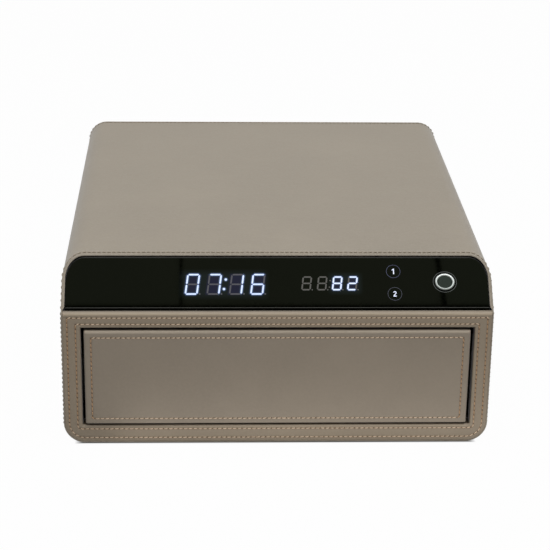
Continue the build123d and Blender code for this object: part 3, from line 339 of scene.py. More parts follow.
def board_finish(name, colour, traces):
    m = Finish(name, Specular_IOR_Level=0.5, Coat_Weight=0.25, Coat_Roughness=0.25)
    grid = m.add("TexBrick", {"Vector": m.where, "Scale": 120.0, "Mortar Size": 0.035, "Color1": (0, 0, 0, 1),
                              "Color2": (0.12, 0.12, 0.12, 1), "Mortar": (1, 1, 1, 1)})
    patches = m.noise(60, 3)
    tone = m.between(patches, colour, 0.85, 1.15)
    tone = m.mixed(m.product(grid, 0.6), tone, traces)
    return m.set(Base_Color=tone, Roughness=m.ranged(patches, 0.3, 0.7, 0.35, 0.5),
                 Normal=m.bump(grid, 0.3, 0.00004)).material


def wood_board_finish(name, colour):
    m = Finish(name, Specular_IOR_Level=0.3)
    fibres = m.noise(1.0, 5, 0.7, m.stretched(500, 900, 900), warp=0.8)
    flakes = m.cells(350)
    tone = m.between(fibres, colour, 0.75, 1.15)
    tone = m.mixed(m.ranged(flakes, 0.1, 0.6, 0.0, 0.4), tone, toned(colour, 0.85))
    return m.set(Base_Color=tone, Roughness=m.ranged(fibres, 0.3, 0.7, 0.75, 0.92),
                 Normal=m.bump(fibres, 0.5, 0.0002)).material


def glass_finish(name):
    """Near-black panel glass, with ground edges and the faint glow of the two displays behind it."""
    m = Finish(name, Specular_IOR_Level=0.0225, Specular_Tint=(0.90, 1.0, 0.64, 1), Emission_Strength=1.0)
    x, y, z, aside = m.axes(m.where)
    rise = m.math("ADD", m.math("SUBTRACT", y, FRONT * MM), m.math("SUBTRACT", z, LEDGE * MM))
    up = m.axis["up"] = m.product(rise, 0.5 * ROOT2)
    lean = m.product(m.math("SUBTRACT", up, CLOCK_LOW * MM), math.tan(math.radians(DIGIT_LEAN)))
    m.axis["upright_x"] = m.math("SUBTRACT", x, lean)

    def window(across, left, right, low, high, soft=0.7):
        """1 on an area of the glass, between two places across and two up the slope, with soft edges."""
        ends = {across: (left, right), "up": (low, high)}
        return m.mask(**{axis: (a - soft, a + soft, b - soft, b + soft) for axis, (a, b) in ends.items()})

    around = m.most(window("x", -78.0, -9.5, 15.5, 37.5, 3.0), window("x", 42.5, 67.5, 19.0, 35.5, 2.4))
    digits = [(left, right, CLOCK_LOW, CLOCK_LOW + CLOCK_TALL)
              for left, right in ((-76.6, -64.6), (-58.8, -47.0), (-40.8, -29.0), (-23.4, -11.6))]
    digits += [(left, right, SMALL_LOW, SMALL_LOW + SMALL_TALL) for left, right in ((43.2, 51.4), (55.6, 63.8))]
    inside = m.most(*(window("upright_x", *digit) for digit in digits))
    facing = m.add("NewGeometry", out="Normal")
    flatness = m.add("VectorMath", {0: facing, 1: (0.0, -1 / ROOT2, 1 / ROOT2)}, out="Value",
                     operation="DOT_PRODUCT")
    ground = m.product(m.ranged(flatness, 0.98, 0.90), m.mask(up=(6, 9)),
                       m.ranged(aside, 0.167, 0.155, 0.15, 1.0))
    low_line = m.mask(up=(5.75, 5.90, 6.18, 6.33))
    ground = m.most(ground, m.product(low_line, 0.85))
    cloud = m.noise(14, 3)
    smear = m.noise(320, 4, 0.6)
    dark = m.mixed(m.ranged(cloud, 0.3, 0.7), (0.0002, 0.0003, 0.0001, 1), (0.0006, 0.0007, 0.0003, 1))
    dark = m.mixed(m.ranged(smear, 0.5, 0.8, 0.0, 0.3), dark, (0.0016, 0.0017, 0.0012, 1))
    dark = m.mixed(ground, dark, (0.085, 0.083, 0.076, 1))
    rough = m.math("ADD", m.ranged(smear, 0.3, 0.8, 0.02, 0.05), m.product(ground, 0.4))
    glow = m.mixed(around, (0.0, 0.0, 0.0, 1), (0.0060, 0.0090, 0.0110, 1))
    glow = m.mixed(inside, glow, (0.0120, 0.0125, 0.0330, 1))
    return m.set(Base_Color=dark, Roughness=rough, Normal=m.bump(smear, 0.01, 0.000005),
                 Emission_Color=glow).material


def lit_finish(name, colour, strength, edge):
    m = Finish(name, Roughness=0.4, Emission_Strength=strength, Specular_IOR_Level=0.1)
    flicker = m.ranged(m.noise(700, 2), 0.3, 0.7)
    return m.set(Emission_Color=m.mixed(flicker, edge, colour),
                 Base_Color=m.mixed(flicker, (0.02, 0.02, 0.02, 1), (0.05, 0.05, 0.05, 1))).material


def dim_finish(name, colour, glow):
    m = Finish(name, Specular_IOR_Level=0.2, Emission_Strength=1.0)
    grain = m.noise(900, 3)
    return m.set(Base_Color=m.between(grain, colour, 0.85, 1.15), Emission_Color=m.between(grain, glow, 0.8, 1.2),
                 Roughness=m.ranged(grain, 0.3, 0.7, 0.5, 0.7), Normal=m.bump(grain, 0.2, 0.00004)).material


def ring_finish(name):
    """Satin chrome, with a painted reflection that makes it brightest on the side nearest the back."""
    m = Finish(name, Metallic=1.0)
    x, _, z, _ = m.axes(m.where)
    grain = m.noise(1200, 3, 0.6)
    toward_back = m.math("ADD", z, m.product(m.math("SUBTRACT", x, READER[0] * MM), 0.12))
    # Painted reflection: the chrome is paler towards the back and the right of the ring
    bright = m.ranged(toward_back, 0.1350, 0.1415)
    tone = m.mixed(bright, (0.17, 0.185, 0.17, 1), (0.36, 0.375, 0.355, 1))
    tone = m.mixed(m.ranged(grain, 0.3, 0.75, 0.0, 0.25), tone, (0.22, 0.23, 0.22, 1))
    return m.set(Base_Color=tone, Roughness=m.ranged(grain, 0.3, 0.7, 0.22, 0.32),
                 Normal=m.bump(grain, 0.2, 0.00003)).material


leather = leather_finish("leather", (0.262, 0.213, 0.158, 1), rows=[DRAWER_ROW])
# The wrap's leather is a slightly cooler tone than the front's, as painted light for the pale sheen its top picks
# up
wrap_leather = leather_finish("wrap_leather", (0.2655, 0.2225, 0.1675, 1), painted_light_at_back=True)
frame_leather = leather_finish("frame_leather", (0.269, 0.212, 0.148, 1), rows=[INNER_ROW, OUTER_ROW], ledge=True)
thread = thread_finish("thread", (0.71, 0.54, 0.38, 1), (0.44, 0.275, 0.150, 1))
wrap_thread = thread_finish("wrap_thread", (0.40, 0.34, 0.26, 1))

finishes = {
    "leather": leather,
    "case_steel": painted_finish("case_steel", (0.032, 0.026, 0.020, 1)),
    "back_panel_steel": painted_finish("back_panel_steel", (0.040, 0.041, 0.043, 1)),
    "frame_board": wood_board_finish("frame_board", (0.30, 0.20, 0.11, 1)),
    "panel_glass": glass_finish("panel_glass"),
    "tray_plastic": moulded_finish("tray_plastic", (0.022, 0.022, 0.024, 1), 0.55),
    "display_plastic": moulded_finish("display_plastic", (0.035, 0.035, 0.038, 1), 0.45),
    "circuit_board": board_finish("circuit_board", (0.012, 0.085, 0.045, 1), (0.10, 0.30, 0.16, 1)),
    "ring_chrome": metal_finish("ring_chrome", (0.38, 0.395, 0.375, 1), 0.20, (900, 900, 900)),
    "sensor_plastic": moulded_finish("sensor_plastic", (0.013, 0.0205, 0.0135, 1), 0.4, 2200.0, 0.00003,
                                     Specular_IOR_Level=0.08),
    "bright_steel": metal_finish("bright_steel", (0.52, 0.53, 0.54, 1), 0.42, (900, 40, 900), shaded_ends=True),
    "drawer_steel": painted_finish("drawer_steel", (0.045, 0.046, 0.048, 1)),
    "felt": felt_finish("felt", (0.020, 0.020, 0.022, 1)),
    "foot_rubber": moulded_finish("foot_rubber", (0.018, 0.018, 0.018, 1), 0.8, 900.0, 0.00015),
    "lock_zinc": metal_finish("lock_zinc", (0.50, 0.51, 0.53, 1), 0.42, (700, 700, 700)),
    "gear_brass": metal_finish("gear_brass", (0.72, 0.50, 0.22, 1), 0.30, (900, 900, 60)),
    "motor_steel": metal_finish("motor_steel", (0.55, 0.56, 0.57, 1), 0.35, (60, 1400, 1400)),
    "cell_jacket": moulded_finish("cell_jacket", (0.030, 0.055, 0.110, 1), 0.35, 700.0, 0.00003, Coat_Weight=0.3),
    "lead_rubber": moulded_finish("lead_rubber", (0.020, 0.020, 0.021, 1), 0.6),
    "ribbon_plastic": moulded_finish("ribbon_plastic", (0.45, 0.45, 0.43, 1), 0.45),
    "ejector_plastic": moulded_finish("ejector_plastic", (0.055, 0.056, 0.058, 1), 0.42),
}
for part in frame["record"]["subparts"]:
    mesh = nodes[part["node"]].data
    mesh.materials.clear()
    mesh.materials.append(finishes[part["material_slot"]])


# ---------------- mesh tools
def piece(name, points, faces, material, body, slot=None, stands_for=(), sharp=False, fix=True):
    """Makes a closed mesh from points in millimetres and puts it on a body."""
    mesh = bpy.data.meshes.new(name)
    mesh.from_pydata((np.asarray(points, float) * MM).tolist(), [], faces)
    if fix:
        work = bmesh.new()
        work.from_mesh(mesh)
        bmesh.ops.recalc_face_normals(work, faces=work.faces)
        work.to_mesh(mesh)
        work.free()
    mesh.materials.append(material)
    mesh.polygons.foreach_set("use_smooth", [not sharp] * len(mesh.polygons))
    mesh.update()
    obj = linked(name, mesh)
    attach(obj, body)
    if stands_for:
        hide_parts(*stands_for)


def ring_faces(rings, count, closed=True):
    """Quads between rings of as many points each; closed joins the last ring to the first."""
    here = np.arange(rings * count).reshape(rings, count)
    nearer = here if closed else here[:-1]
    further = np.roll(here, -1, 0) if closed else here[1:]
    a, b = nearer, np.roll(nearer, -1, 1)
    c, d = np.roll(further, -1, 1), further
    return np.stack([a, b, c, d], -1).reshape(-1, 4).tolist()


def loop_length(half, low, high, radius):
    return 2 * (2 * half + high - low) - (8 - 2 * math.pi) * radius


def rounded_loop(half, low, high, radius, count, middle=0.0):
    """Evenly spaced points and outward ways round a rounded rectangle, from the bottom's middle to the right."""
    side, base, top = half - radius, low + radius, high - radius
    arc = radius * math.pi / 2
    # Straight runs and arcs in turn, each with its length and the middle of the corner that it starts at
    runs = [side, arc, top - base, arc, 2 * side, arc, top - base, arc, side]
    starts = [(0, base), *[(x, z) for x, z in ((side, base), (side, top), (-side, top), (-side, base))
                           for _ in range(2)]]
    ends = np.cumsum(runs)
    points, ways = [], []
    for step in range(count):
        reached = step * ends[-1] / count
        run = min(int(np.searchsorted(ends, reached, side="right")), len(runs) - 1)
        along = reached - (ends[run] - runs[run])
        ahead, turn = (0.0, along / radius) if run % 2 else (along, 0.0)
        angle = (run // 2 - 1) * math.pi / 2 + turn
        way = np.array([math.cos(angle), math.sin(angle)])
        points.append(starts[run] + radius * way + ahead * np.array([-way[1], way[0]]))
        ways.append(way)
    return np.array(points) + [middle, 0.0], np.array(ways)


STITCH_SIDES = 6
STITCH_AT = np.array([-1.0, -0.62, 0.0, 0.62, 1.0])


def stitch_row(places, outward, lean=5.0, length=3.15, wide=0.92, thick=0.60, rise=0.20):
    """Threads between the holes of a row. places and outward are the stitches' middles and surface directions."""
    ahead = np.roll(places, -1, 0) - np.roll(places, 1, 0)
    ahead /= np.linalg.norm(ahead, axis=1, keepdims=True)
    side = np.cross(outward, ahead)
    side /= np.linalg.norm(side, axis=1, keepdims=True)
    last = (len(STITCH_AT) - 1) * STITCH_SIDES
    faces = ring_faces(len(STITCH_AT), STITCH_SIDES, closed=False)
    faces += [list(range(STITCH_SIDES))[::-1], list(range(last, last + STITCH_SIDES))]
    angles = np.arange(STITCH_SIDES)[:, None] * 2 * math.pi / STITCH_SIDES
    stitches = []
    for k, place in enumerate(places):
        tilt = math.radians(lean + rng.normal(0, 2.2))
        size = 1 + rng.normal(0, 0.03)
        u = ahead[k] * math.cos(tilt) + side[k] * math.sin(tilt)
        v = side[k] * math.cos(tilt) - ahead[k] * math.sin(tilt)
        n = outward[k]
        points = []
        for at in STITCH_AT:
            middle = place + u * (at * length * size / 2) + n * (rise - 0.55 * at * at)
            slim = 0.5 * (1.0 - 0.32 * at * at)
            points.extend(middle + v * (wide * slim * np.cos(angles)) + n * (thick * slim * np.sin(angles)))
        stitches.append((points, faces))
    return joined(stitches)


def joined(groups):
    points, faces = [], []
    for some, theirs in groups:
        shift = len(points)
        points.extend(some)
        faces.extend(tuple(i + shift for i in face) for face in theirs)
    return points, faces


def front_stitches(*rows):
    """Rows of stitches on leather that faces the front."""
    return joined([stitch_row(row + [0, THREAD_SINK, 0], np.tile([0.0, -1.0, 0.0], (len(row), 1)))
                   for row in rows])


def unevenness(x, y, size):
    """A slow, repeatable waviness, as skin glued to a board has."""
    return size * (np.sin(x / 31.0 + 1.3 * np.sin(y / 47.0)) + np.sin(y / 37.0 + 1.1 * np.sin(x / 53.0) + 2.0)
                   + 0.6 * np.sin((x + 1.7 * y) / 23.0 + 0.8)) / 2.6


# ---------------- leather round the case
PER_STITCH = 4
ROW = 4.5  # from the skin's edge to the stitch row
RIM_DEPTH = 3.7 * ROOT2
wrap_stitch_count = round(loop_length(CASE_HALF, BASE, TOP, CORNER) / PITCH)
wrap_count = PER_STITCH * wrap_stitch_count
outline, out_way = rounded_loop(CASE_HALF, BASE, TOP, CORNER, wrap_count)
x0, z0 = outline.T
nx, nz = out_way.T
above = smooth((z0 - 119.0) / 1.8)  # 1 where the front edge follows the slope
upward = np.clip(nz, 0, 1)
rim_in = LEATHER + above * (1.5 - 1.85 * upward)
roll_out = 0.7 - above * 0.25 * upward
roll_in = 0.3 + above * (0.4 - 0.35 * upward)
crease = above * (1 - upward) * 0.45
slant = 1 + (ROOT2 - 1) * above * (1 - upward)
hole = np.where(np.arange(wrap_count) % PER_STITCH == 0, 1.0, 0.12) * (np.arange(wrap_count) % PER_STITCH != 2)


def wrap_ring(inset, depth=None, y=None):
    x, z = x0 - inset * nx, z0 - inset * nz
    if y is None:
        y = face_y(z) + depth
    return np.stack([x, y + np.zeros(wrap_count), z], 1)


def seam_relief(from_edge):
    """How far the skin sinks at a distance from its edge: a groove with the needle's holes, and soft ridges."""
    return (0.12 * bell(from_edge - ROW, 0.9) + 0.40 * bell(from_edge - ROW, 0.6) * hole
            + 0.30 * bell(from_edge - 2.1, 0.42) - 0.16 * bell(from_edge - 7.3, 0.8))


quarter = np.radians([0, 22.5, 45, 67.5, 90])
under_top = above * upward
lip = rim_in + 0.6 * under_top
rings = [wrap_ring(lip, RIM_DEPTH), wrap_ring(lip, 0.6 * RIM_DEPTH + (1.25 - 0.6 * RIM_DEPTH) * under_top)]
for a in quarter:
    rings.append(wrap_ring(rim_in - roll_in + roll_in * np.cos(a), slant * roll_in * (1 - np.sin(a))))
middle = (roll_out + rim_in - roll_in) / 2
spread = np.minimum(1.0, (rim_in - roll_in - roll_out) / 0.6).clip(0.05)
for offset, share in ((0.28, 0.12), (0.12, 0.75), (0.0, 1.0), (-0.12, 0.75), (-0.28, 0.12)):
    rings.append(wrap_ring(middle + offset * spread, slant * crease * share))
for a in quarter[::-1]:
    rings.append(wrap_ring(roll_out * (1 - np.sin(a)), slant * roll_out * (1 - np.cos(a))))
SEAM_STEPS = (1.2, 1.6, 1.85, 2.1, 2.35, 2.6, 3.1, 3.8, 4.15, 4.5, 4.85, 5.2, 5.7, 6.3, 6.8, 7.15, 7.5, 7.85, 8.3,
              9.2, 11.0)
for d in SEAM_STEPS:
    rings.append(wrap_ring(seam_relief(d), slant * d))
BACK_STEPS = (198.0, 201.5, 203.4, 204.4, 205.0, 205.5, 206.0, 206.6, 207.5)
start_y = face_y(z0) + slant * SEAM_STEPS[-1]
flat = bell(np.minimum(np.abs(nx), np.abs(nz)), 0.3)
along = np.where(np.abs(nx) > np.abs(nz), z0 * 1.7 + 300, x0)
for share in np.arange(1, 24) / 24:
    y = start_y + (BACK_STEPS[0] - start_y) * share
    fade = min(1.0, share * 4, (1 - share) * 4)
    rings.append(wrap_ring(unevenness(along, y, 0.10) * flat * fade, y=y))
for y in BACK_STEPS:
    rings.append(wrap_ring(seam_relief(BACK - y), y=y))
BACK_ROLL = 1.5
for a in quarter:
    rings.append(wrap_ring(BACK_ROLL * (1 - np.cos(a)), y=BACK - BACK_ROLL * (1 - np.sin(a))))
UNDER_BACK = BACK - LEATHER
for inset, y in ((2.5, BACK), (3.3, BACK), (3.7, 209.85), (3.9, 209.4), (3.9, UNDER_BACK), (2.4, UNDER_BACK),
                 (LEATHER, UNDER_BACK), (LEATHER, 100.0), (LEATHER, -60.0)):
    rings.append(wrap_ring(inset, y=y))
rings.append(wrap_ring(LEATHER, RIM_DEPTH + 0.5))
piece("leather_wrap", np.concatenate(rings), ring_faces(len(rings), wrap_count), wrap_leather, "case", "leather",
      ["leather_sleeve"])

# Stitches near the front edge and near the back edge
middles = np.arange(wrap_stitch_count) * PER_STITCH + PER_STITCH // 2
outward = np.stack([nx, np.zeros(wrap_count), nz], 1)[middles]
front_row = wrap_ring(0.06, slant * ROW)[middles]
back_row = wrap_ring(0.06, y=BACK - ROW)[middles]
stitches = joined([stitch_row(row, outward, thick=1.0, rise=0.50) for row in (front_row, back_row)])
piece("wrap_stitches", *stitches, wrap_thread, "case", fix=False)


# ---------------- leather on the front frame
SIDE_COUNT, ARC_COUNT, LOW_COUNT, HIGH_COUNT = 108, 20, 324, 350


def frame_loop(half, low, high, radius):
    """Round the frame from the top left corner: down, along the bottom, up, and back along the top."""
    near, base, top = half - radius, low + radius, high - 0.3
    turn = np.linspace(0, math.pi / 2, ARC_COUNT, endpoint=False)
    runs = ((np.full(SIDE_COUNT, -half), np.linspace(top, base, SIDE_COUNT, endpoint=False)),
            (-near - radius * np.cos(turn), base - radius * np.sin(turn)),
            (np.linspace(-near, near, LOW_COUNT, endpoint=False), np.full(LOW_COUNT, low)),
            (near + radius * np.sin(turn), base - radius * np.cos(turn)),
            (np.full(SIDE_COUNT, half), np.linspace(base, top, SIDE_COUNT)),
            (np.linspace(half, -half, HIGH_COUNT), np.full(HIGH_COUNT, high)))
    return np.concatenate([np.stack(run, 1) for run in runs])


frame_count = 2 * SIDE_COUNT + 2 * ARC_COUNT + LOW_COUNT + HIGH_COUNT
is_top = np.arange(frame_count) >= frame_count - HIGH_COUNT
OPENING = np.array([OPEN_HALF, OPEN_LOW, OPEN_HIGH, 1.0])
OUTER = np.array([CASE_HALF - LEATHER, BASE + LEATHER, LEDGE, CORNER - LEATHER])


def row_places(half, low, high, radius, y):
    """Where a row's holes and stitches lie on the flat front, evenly spaced, with nearly square top corners."""
    loop = frame_loop(half, low, high, radius)
    loop = np.concatenate([loop, loop[:1]])
    along = np.concatenate([[0], np.cumsum(np.linalg.norm(np.diff(loop, axis=0), axis=1))])
    count = round(along[-1] / PITCH)
    found = []
    for offset in (0.0, 0.5):
        at = (np.arange(count) + offset) * along[-1] / count
        x, z = (np.interp(at, along, loop[:, i]) for i in (0, 1))
        found.append(np.stack([x, np.full(count, y), z], 1))
    return found


def nearness(points, targets, width):
    """1 at a target and fading over width, for each point."""
    found = np.zeros(len(points))
    for start in range(0, len(points), 4000):
        some = points[start:start + 4000]
        gap = np.sqrt(((some[:, None, ::2] - targets[None, :, ::2]) ** 2).sum(-1)).min(1)
        found[start:start + 4000] = bell(gap, width)
    return found


inner_holes, inner_middles = row_places(*INNER_ROW, FRONT)
outer_holes, outer_middles = row_places(*OUTER_ROW, FRONT)


def on_face(loop, y):
    return np.stack([loop[:, 0], np.full(frame_count, y), loop[:, 1]], 1)


rings = [on_face(frame_loop(*OPENING), y) for y in (LINING_BACK, -203.0, -207.4)]
EDGE_ROLL = 1.7
for a in quarter:
    grow = EDGE_ROLL * (1 - math.cos(a))
    loop = frame_loop(OPEN_HALF + grow, OPEN_LOW - grow, OPEN_HIGH + grow, 1.0 + 0.5 * grow)
    rings.append(on_face(loop, FRONT + EDGE_ROLL * (1 - math.sin(a))))
for ring in rings:
    ring[:, 0] += 0.6 * smooth((ring[:, 0] - 60) / 95)
edge = np.array([OPEN_HALF + EDGE_ROLL, OPEN_LOW - EDGE_ROLL, OPEN_HIGH + EDGE_ROLL, 1.9])
face_keys = [start + (end - start) * share for start, end, shares in (
    (edge, INNER_ROW, (0.4, 0.75, 0.9, 1.0)),
    (INNER_ROW, OUTER_ROW, (0.05, 0.1, 0.17, 0.3, 0.5, 0.7, 0.83, 0.9, 0.95, 1.0)),
    (OUTER_ROW, OUTER, (0.1, 0.2))) for share in shares]
holes = np.concatenate([inner_holes, outer_holes])
holes_and_middles = np.concatenate([holes, inner_middles, outer_middles])
for key in face_keys:
    ring = on_face(frame_loop(*key), FRONT)
    ring[:, 1] += 0.12 * nearness(ring, holes_and_middles, 1.1) + HOLE_DEPTH * nearness(ring, holes, HOLE_WIDTH)
    ring[:, 1] += 0.04 * np.sin(ring[:, 0] / 19.0 + ring[:, 2] / 11.0) - 0.05
    rings.append(ring)

# Over the ledge at the top, and round the skin's edge on the other sides
LEDGE_ROLL = 2.2
low_start = LEDGE - LEDGE_ROLL * math.tan(math.radians(22.5))
over = [(FRONT, 114.4), (FRONT, low_start)]  # the roll starts just under the ledge
for degrees in (11.25, 22.5, 33.75, 45):
    a = math.radians(degrees)
    over.append((FRONT + LEDGE_ROLL * (1 - math.cos(a)), low_start + LEDGE_ROLL * math.sin(a)))
for s, d in ((1.6, 0.0), (2.0, 0.28), (2.5, 0.30), (2.85, 0.10), (3.2, 0.26), (3.55, 0.70), (3.7, 1.4), (3.7, 3.7),
             (2.5, 3.7), (2.5, 1.2)):
    over.append((FRONT + (s + d) / ROOT2, LEDGE + (s - d) / ROOT2))
UNDER_FRONT = FRONT + LEATHER
over += [(UNDER_FRONT, 114.8), (UNDER_FRONT, OPEN_HIGH + LEATHER), (LINING_BACK, OPEN_HIGH + LEATHER)]
round_edge = [(0.65, -210.0), (0.45, -210.0), (0.3, -209.99), (0.22, -209.95), (0.15, -209.88), (0.1, -209.78),
              (0.06, -209.66), (0.03, -209.52), (0.01, -209.36), (0.0, -209.2), (0.0, -209.08), (0.0, -208.96),
              *[(inset, UNDER_FRONT) for inset in (0.0, 0.9, 2.8, 5.5, 9.0)]]
inner_back = np.array([OPEN_HALF + LEATHER, OPEN_LOW - LEATHER, OPEN_HIGH + LEATHER, 3.2])
for k, (top_y, top_z) in enumerate(over):
    if k < len(round_edge):
        inset, y = round_edge[k]
        key = OUTER + (inner_back - OUTER) * inset / (OUTER[0] - inner_back[0])
        wide = key[0] if k < 2 else OUTER[0]
    else:
        key, y = inner_back, (UNDER_FRONT, LINING_BACK)[k - len(round_edge)]
        wide = key[0]
    ring = on_face(frame_loop(*key), y)
    ring[is_top] = np.stack([np.linspace(wide, -wide, HIGH_COUNT), np.full(HIGH_COUNT, top_y),
                             np.full(HIGH_COUNT, top_z)], 1)
    rings.append(ring)
piece("front_leather", np.concatenate(rings), ring_faces(len(rings), frame_count), frame_leather, "case", "leather",
      ["leather_front_frame"])

piece("frame_stitches", *front_stitches(inner_middles, outer_middles), thread, "case", fix=False)


# ---------------- leather on the drawer front
def rounded_box(xs, ys, zs, radius):
    """A box over a lattice, its edges and corners rounded. Returns its points, faces and flat lattice points."""
    sizes = (len(xs), len(ys), len(zs))
    index, faces = {}, []  # index numbers each lattice point that is met
    for one, two, axis in ((1, 2, 0), (0, 2, 1), (0, 1, 2)):
        for end in (0, sizes[axis] - 1):
            for u in range(sizes[one] - 1):
                for v in range(sizes[two] - 1):
                    corners = []
                    for du, dv in ((0, 0), (1, 0), (1, 1), (0, 1)):
                        place = [end] * 3
                        place[one], place[two] = u + du, v + dv
                        corners.append(index.setdefault(tuple(place), len(index)))
                    faces.append(corners)
    flat_points = np.array([(xs[i], ys[j], zs[k]) for i, j, k in index], float)
    low = np.array([xs[0], ys[0], zs[0]]) + radius
    high = np.array([xs[-1], ys[-1], zs[-1]]) - radius
    core = np.clip(flat_points, low, high)
    way = flat_points - core
    outline = (np.abs(way[:, 0]) ** 5 + np.abs(way[:, 2]) ** 5) ** 0.2
    size = np.sqrt(outline ** 2 + way[:, 1] ** 2)[:, None]
    return core + way / np.maximum(size, 1e-9) * radius, faces, flat_points


def from_edges(points, half, low, high):
    """How far each point lies inside the sides, the bottom and the top of an upright rectangle."""
    return np.minimum(half - np.abs(points[:, 0]), np.minimum(points[:, 2] - low, high - points[:, 2]))


DRAWER_HALF, DRAWER_LOW, DRAWER_HIGH, DRAWER_FACE, DRAWER_EDGE = 157.0, 19.1, 102.3, -211.2, 2.4
fine = np.array([0.0, 0.35, 0.8, 1.35, 1.9, 2.4])
xs = np.concatenate([-DRAWER_HALF + fine, np.linspace(-DRAWER_HALF + 3.3, DRAWER_HALF - 3.3, 312),
                     DRAWER_HALF - fine[::-1]])
zs = np.concatenate([DRAWER_LOW + fine, np.linspace(DRAWER_LOW + 3.2, DRAWER_HIGH - 3.2, 78),
                     DRAWER_HIGH - fine[::-1]])
ys = np.concatenate([DRAWER_FACE + fine, [-204.5, -201.5, -199.2]])
points, faces, lattice = rounded_box(xs, ys, zs, DRAWER_EDGE)
drawer_count = 2 * round(loop_length(*DRAWER_ROW) / PITCH)
loop, _ = rounded_loop(*DRAWER_ROW, drawer_count)
loop = np.stack([loop[:, 0], np.full(drawer_count, DRAWER_FACE), loop[:, 1]], 1)
drawer_holes, drawer_middles = loop[0::2], loop[1::2]
on_front = np.abs(lattice[:, 1] - DRAWER_FACE) < 1e-9
front_points = points[on_front]
inside = smooth((from_edges(front_points, DRAWER_HALF, DRAWER_LOW, DRAWER_HIGH) - 2.0) / 3.0)
crown = 0.18 * smooth(from_edges(front_points, *DRAWER_ROW[:3]) / 14.0)
dips = 0.14 * nearness(front_points, loop, 1.2) + HOLE_DEPTH * nearness(front_points, drawer_holes, HOLE_WIDTH)
waves = unevenness(front_points[:, 0], front_points[:, 2] * 1.3, 0.09)
front_points[:, 1] += inside * (dips + waves) - crown
points[on_front] = front_points
piece("drawer_leather", points, faces, leather, "drawer", "leather", ["leather_drawer_face"])
piece("drawer_stitches", *front_stitches(drawer_middles), thread, "drawer", fix=False)


# ---------------- felt in the drawer
low, high = (np.array(corner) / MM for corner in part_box("tray_liner"))
half, middle_x = (high[0] - low[0]) / 2, (high[0] + low[0]) / 2
LINER_COUNT = 560


def liner_ring(inset, z, radius):
    loop, _ = rounded_loop(half - inset, low[1] + inset, high[1] - inset, radius, LINER_COUNT, middle=middle_x)
    return np.stack([loop[:, 0], loop[:, 1], np.full(LINER_COUNT, z)], 1)


# Each ring's inset, height and corner radius: up the outside, over the top edge, down the inside, along the floor
profile = [(1.0, low[2], 2.0), (0.3, low[2] + 0.25, 2.0), (0.0, low[2] + 1.0, 2.0), (0.0, low[2] + 30, 2.0),
           (0.0, high[2] - 0.7, 2.0), (0.12, high[2] - 0.2, 2.0), (0.45, high[2], 2.1), (1.0, high[2], 2.2),
           (1.36, high[2] - 0.2, 2.3), (1.5, high[2] - 0.7, 2.4), (1.5, high[2] - 20, 2.4), (1.5, low[2] + 8, 2.6),
           (1.6, low[2] + 4.6, 3.0), (2.2, low[2] + 2.8, 3.4), (3.2, low[2] + 1.9, 4.0), (4.8, low[2] + 1.5, 5.0),
           (12.0, low[2] + 1.5, 8.0), (40.0, low[2] + 1.5, 12.0)]
INSIDE_FROM = 9
rings = [liner_ring(*row) for row in profile]
for ring in rings[INSIDE_FROM:]:
    ring += rng.normal(0, 0.045, ring.shape)
faces = ring_faces(len(rings), LINER_COUNT, closed=False)
faces.append(list(range(LINER_COUNT - 1, -1, -1)))
faces.append(list(range((len(rings) - 1) * LINER_COUNT, len(rings) * LINER_COUNT)))
piece("felt_liner", np.concatenate(rings), faces, finishes["felt"], "drawer", "felt", ["tray_liner"])


# ---------------- clock, thermometer and key marks
SEGMENTS = {"0": "abcdef", "1": "bc", "2": "abdeg", "6": "acdefg", "7": "abc", "8": "abcdefg", "": ""}


def bar(a, b, thick):
    """A segment's six-sided outline, with points at its ends."""
    a, b = np.array(a, float), np.array(b, float)
    way = (b - a) / np.linalg.norm(b - a)
    side = np.array([-way[1], way[0]]) * thick / 2
    tip = way * thick / 2
    return [a, a + tip + side, b - tip + side, b, b - tip - side, a + tip - side]


def digit_bars(wide, tall, thick, gap, spill=0.0):
    """The seven segments' outlines, each grown by spill."""
    h, m = thick / 2, tall / 2
    x0, x1 = h, wide - h
    thick, gap = thick + 2 * spill, gap - ROOT2 * spill
    return {
        "a": bar((x0 + gap, tall - h), (x1 - gap, tall - h), thick), "g": bar((x0 + gap, m), (x1 - gap, m), thick),
        "d": bar((x0 + gap, h), (x1 - gap, h), thick), "f": bar((x0, m + gap), (x0, tall - h - gap), thick),
        "b": bar((x1, m + gap), (x1, tall - h - gap), thick), "e": bar((x0, h + gap), (x0, m - gap), thick),
        "c": bar((x1, h + gap), (x1, m - gap), thick)}


def disc(x, s, radius, sides=16):
    a = np.arange(sides) * 2 * math.pi / sides
    return np.stack([x + radius * np.cos(a), s + radius * np.sin(a)], 1)


PLATE_BOTTOM = GLASS_FACE + 0.03


def plates(outlines, top=GLASS_FACE - 0.06):
    """Thin plates on the glass from outlines in the slope's coordinates."""
    points, faces = [], []
    for outline in outlines:
        outline = np.asarray(outline)
        n, start = len(outline), len(points)
        points.extend(bevel(outline[:, 0], outline[:, 1], top))
        points.extend(bevel(outline[:, 0], outline[:, 1], PLATE_BOTTOM))
        faces.append(tuple(range(start, start + n)))
        faces.append(tuple(range(start + 2 * n - 1, start + n - 1, -1)))
        for i in range(n):
            j = (i + 1) % n
            faces.append((start + i, start + n + i, start + n + j, start + j))
    return points, faces


def display(text, lefts, s_low, wide, tall, thick, lean_degrees, gap, point_shift, point_radius, spill=0.0):
    lean = math.tan(math.radians(lean_degrees))
    lit, unlit = [], []
    for mark, left in zip(text, lefts):
        for key, outline in digit_bars(wide, tall, thick, gap, spill).items():
            outline = np.array(outline)
            outline[:, 0] += left + lean * outline[:, 1]
            outline[:, 1] += s_low
            (lit if key in SEGMENTS[mark] else unlit).append(outline)
        unlit.append(disc(left + wide + point_shift, s_low + point_radius, point_radius, 12))
    return lit, unlit


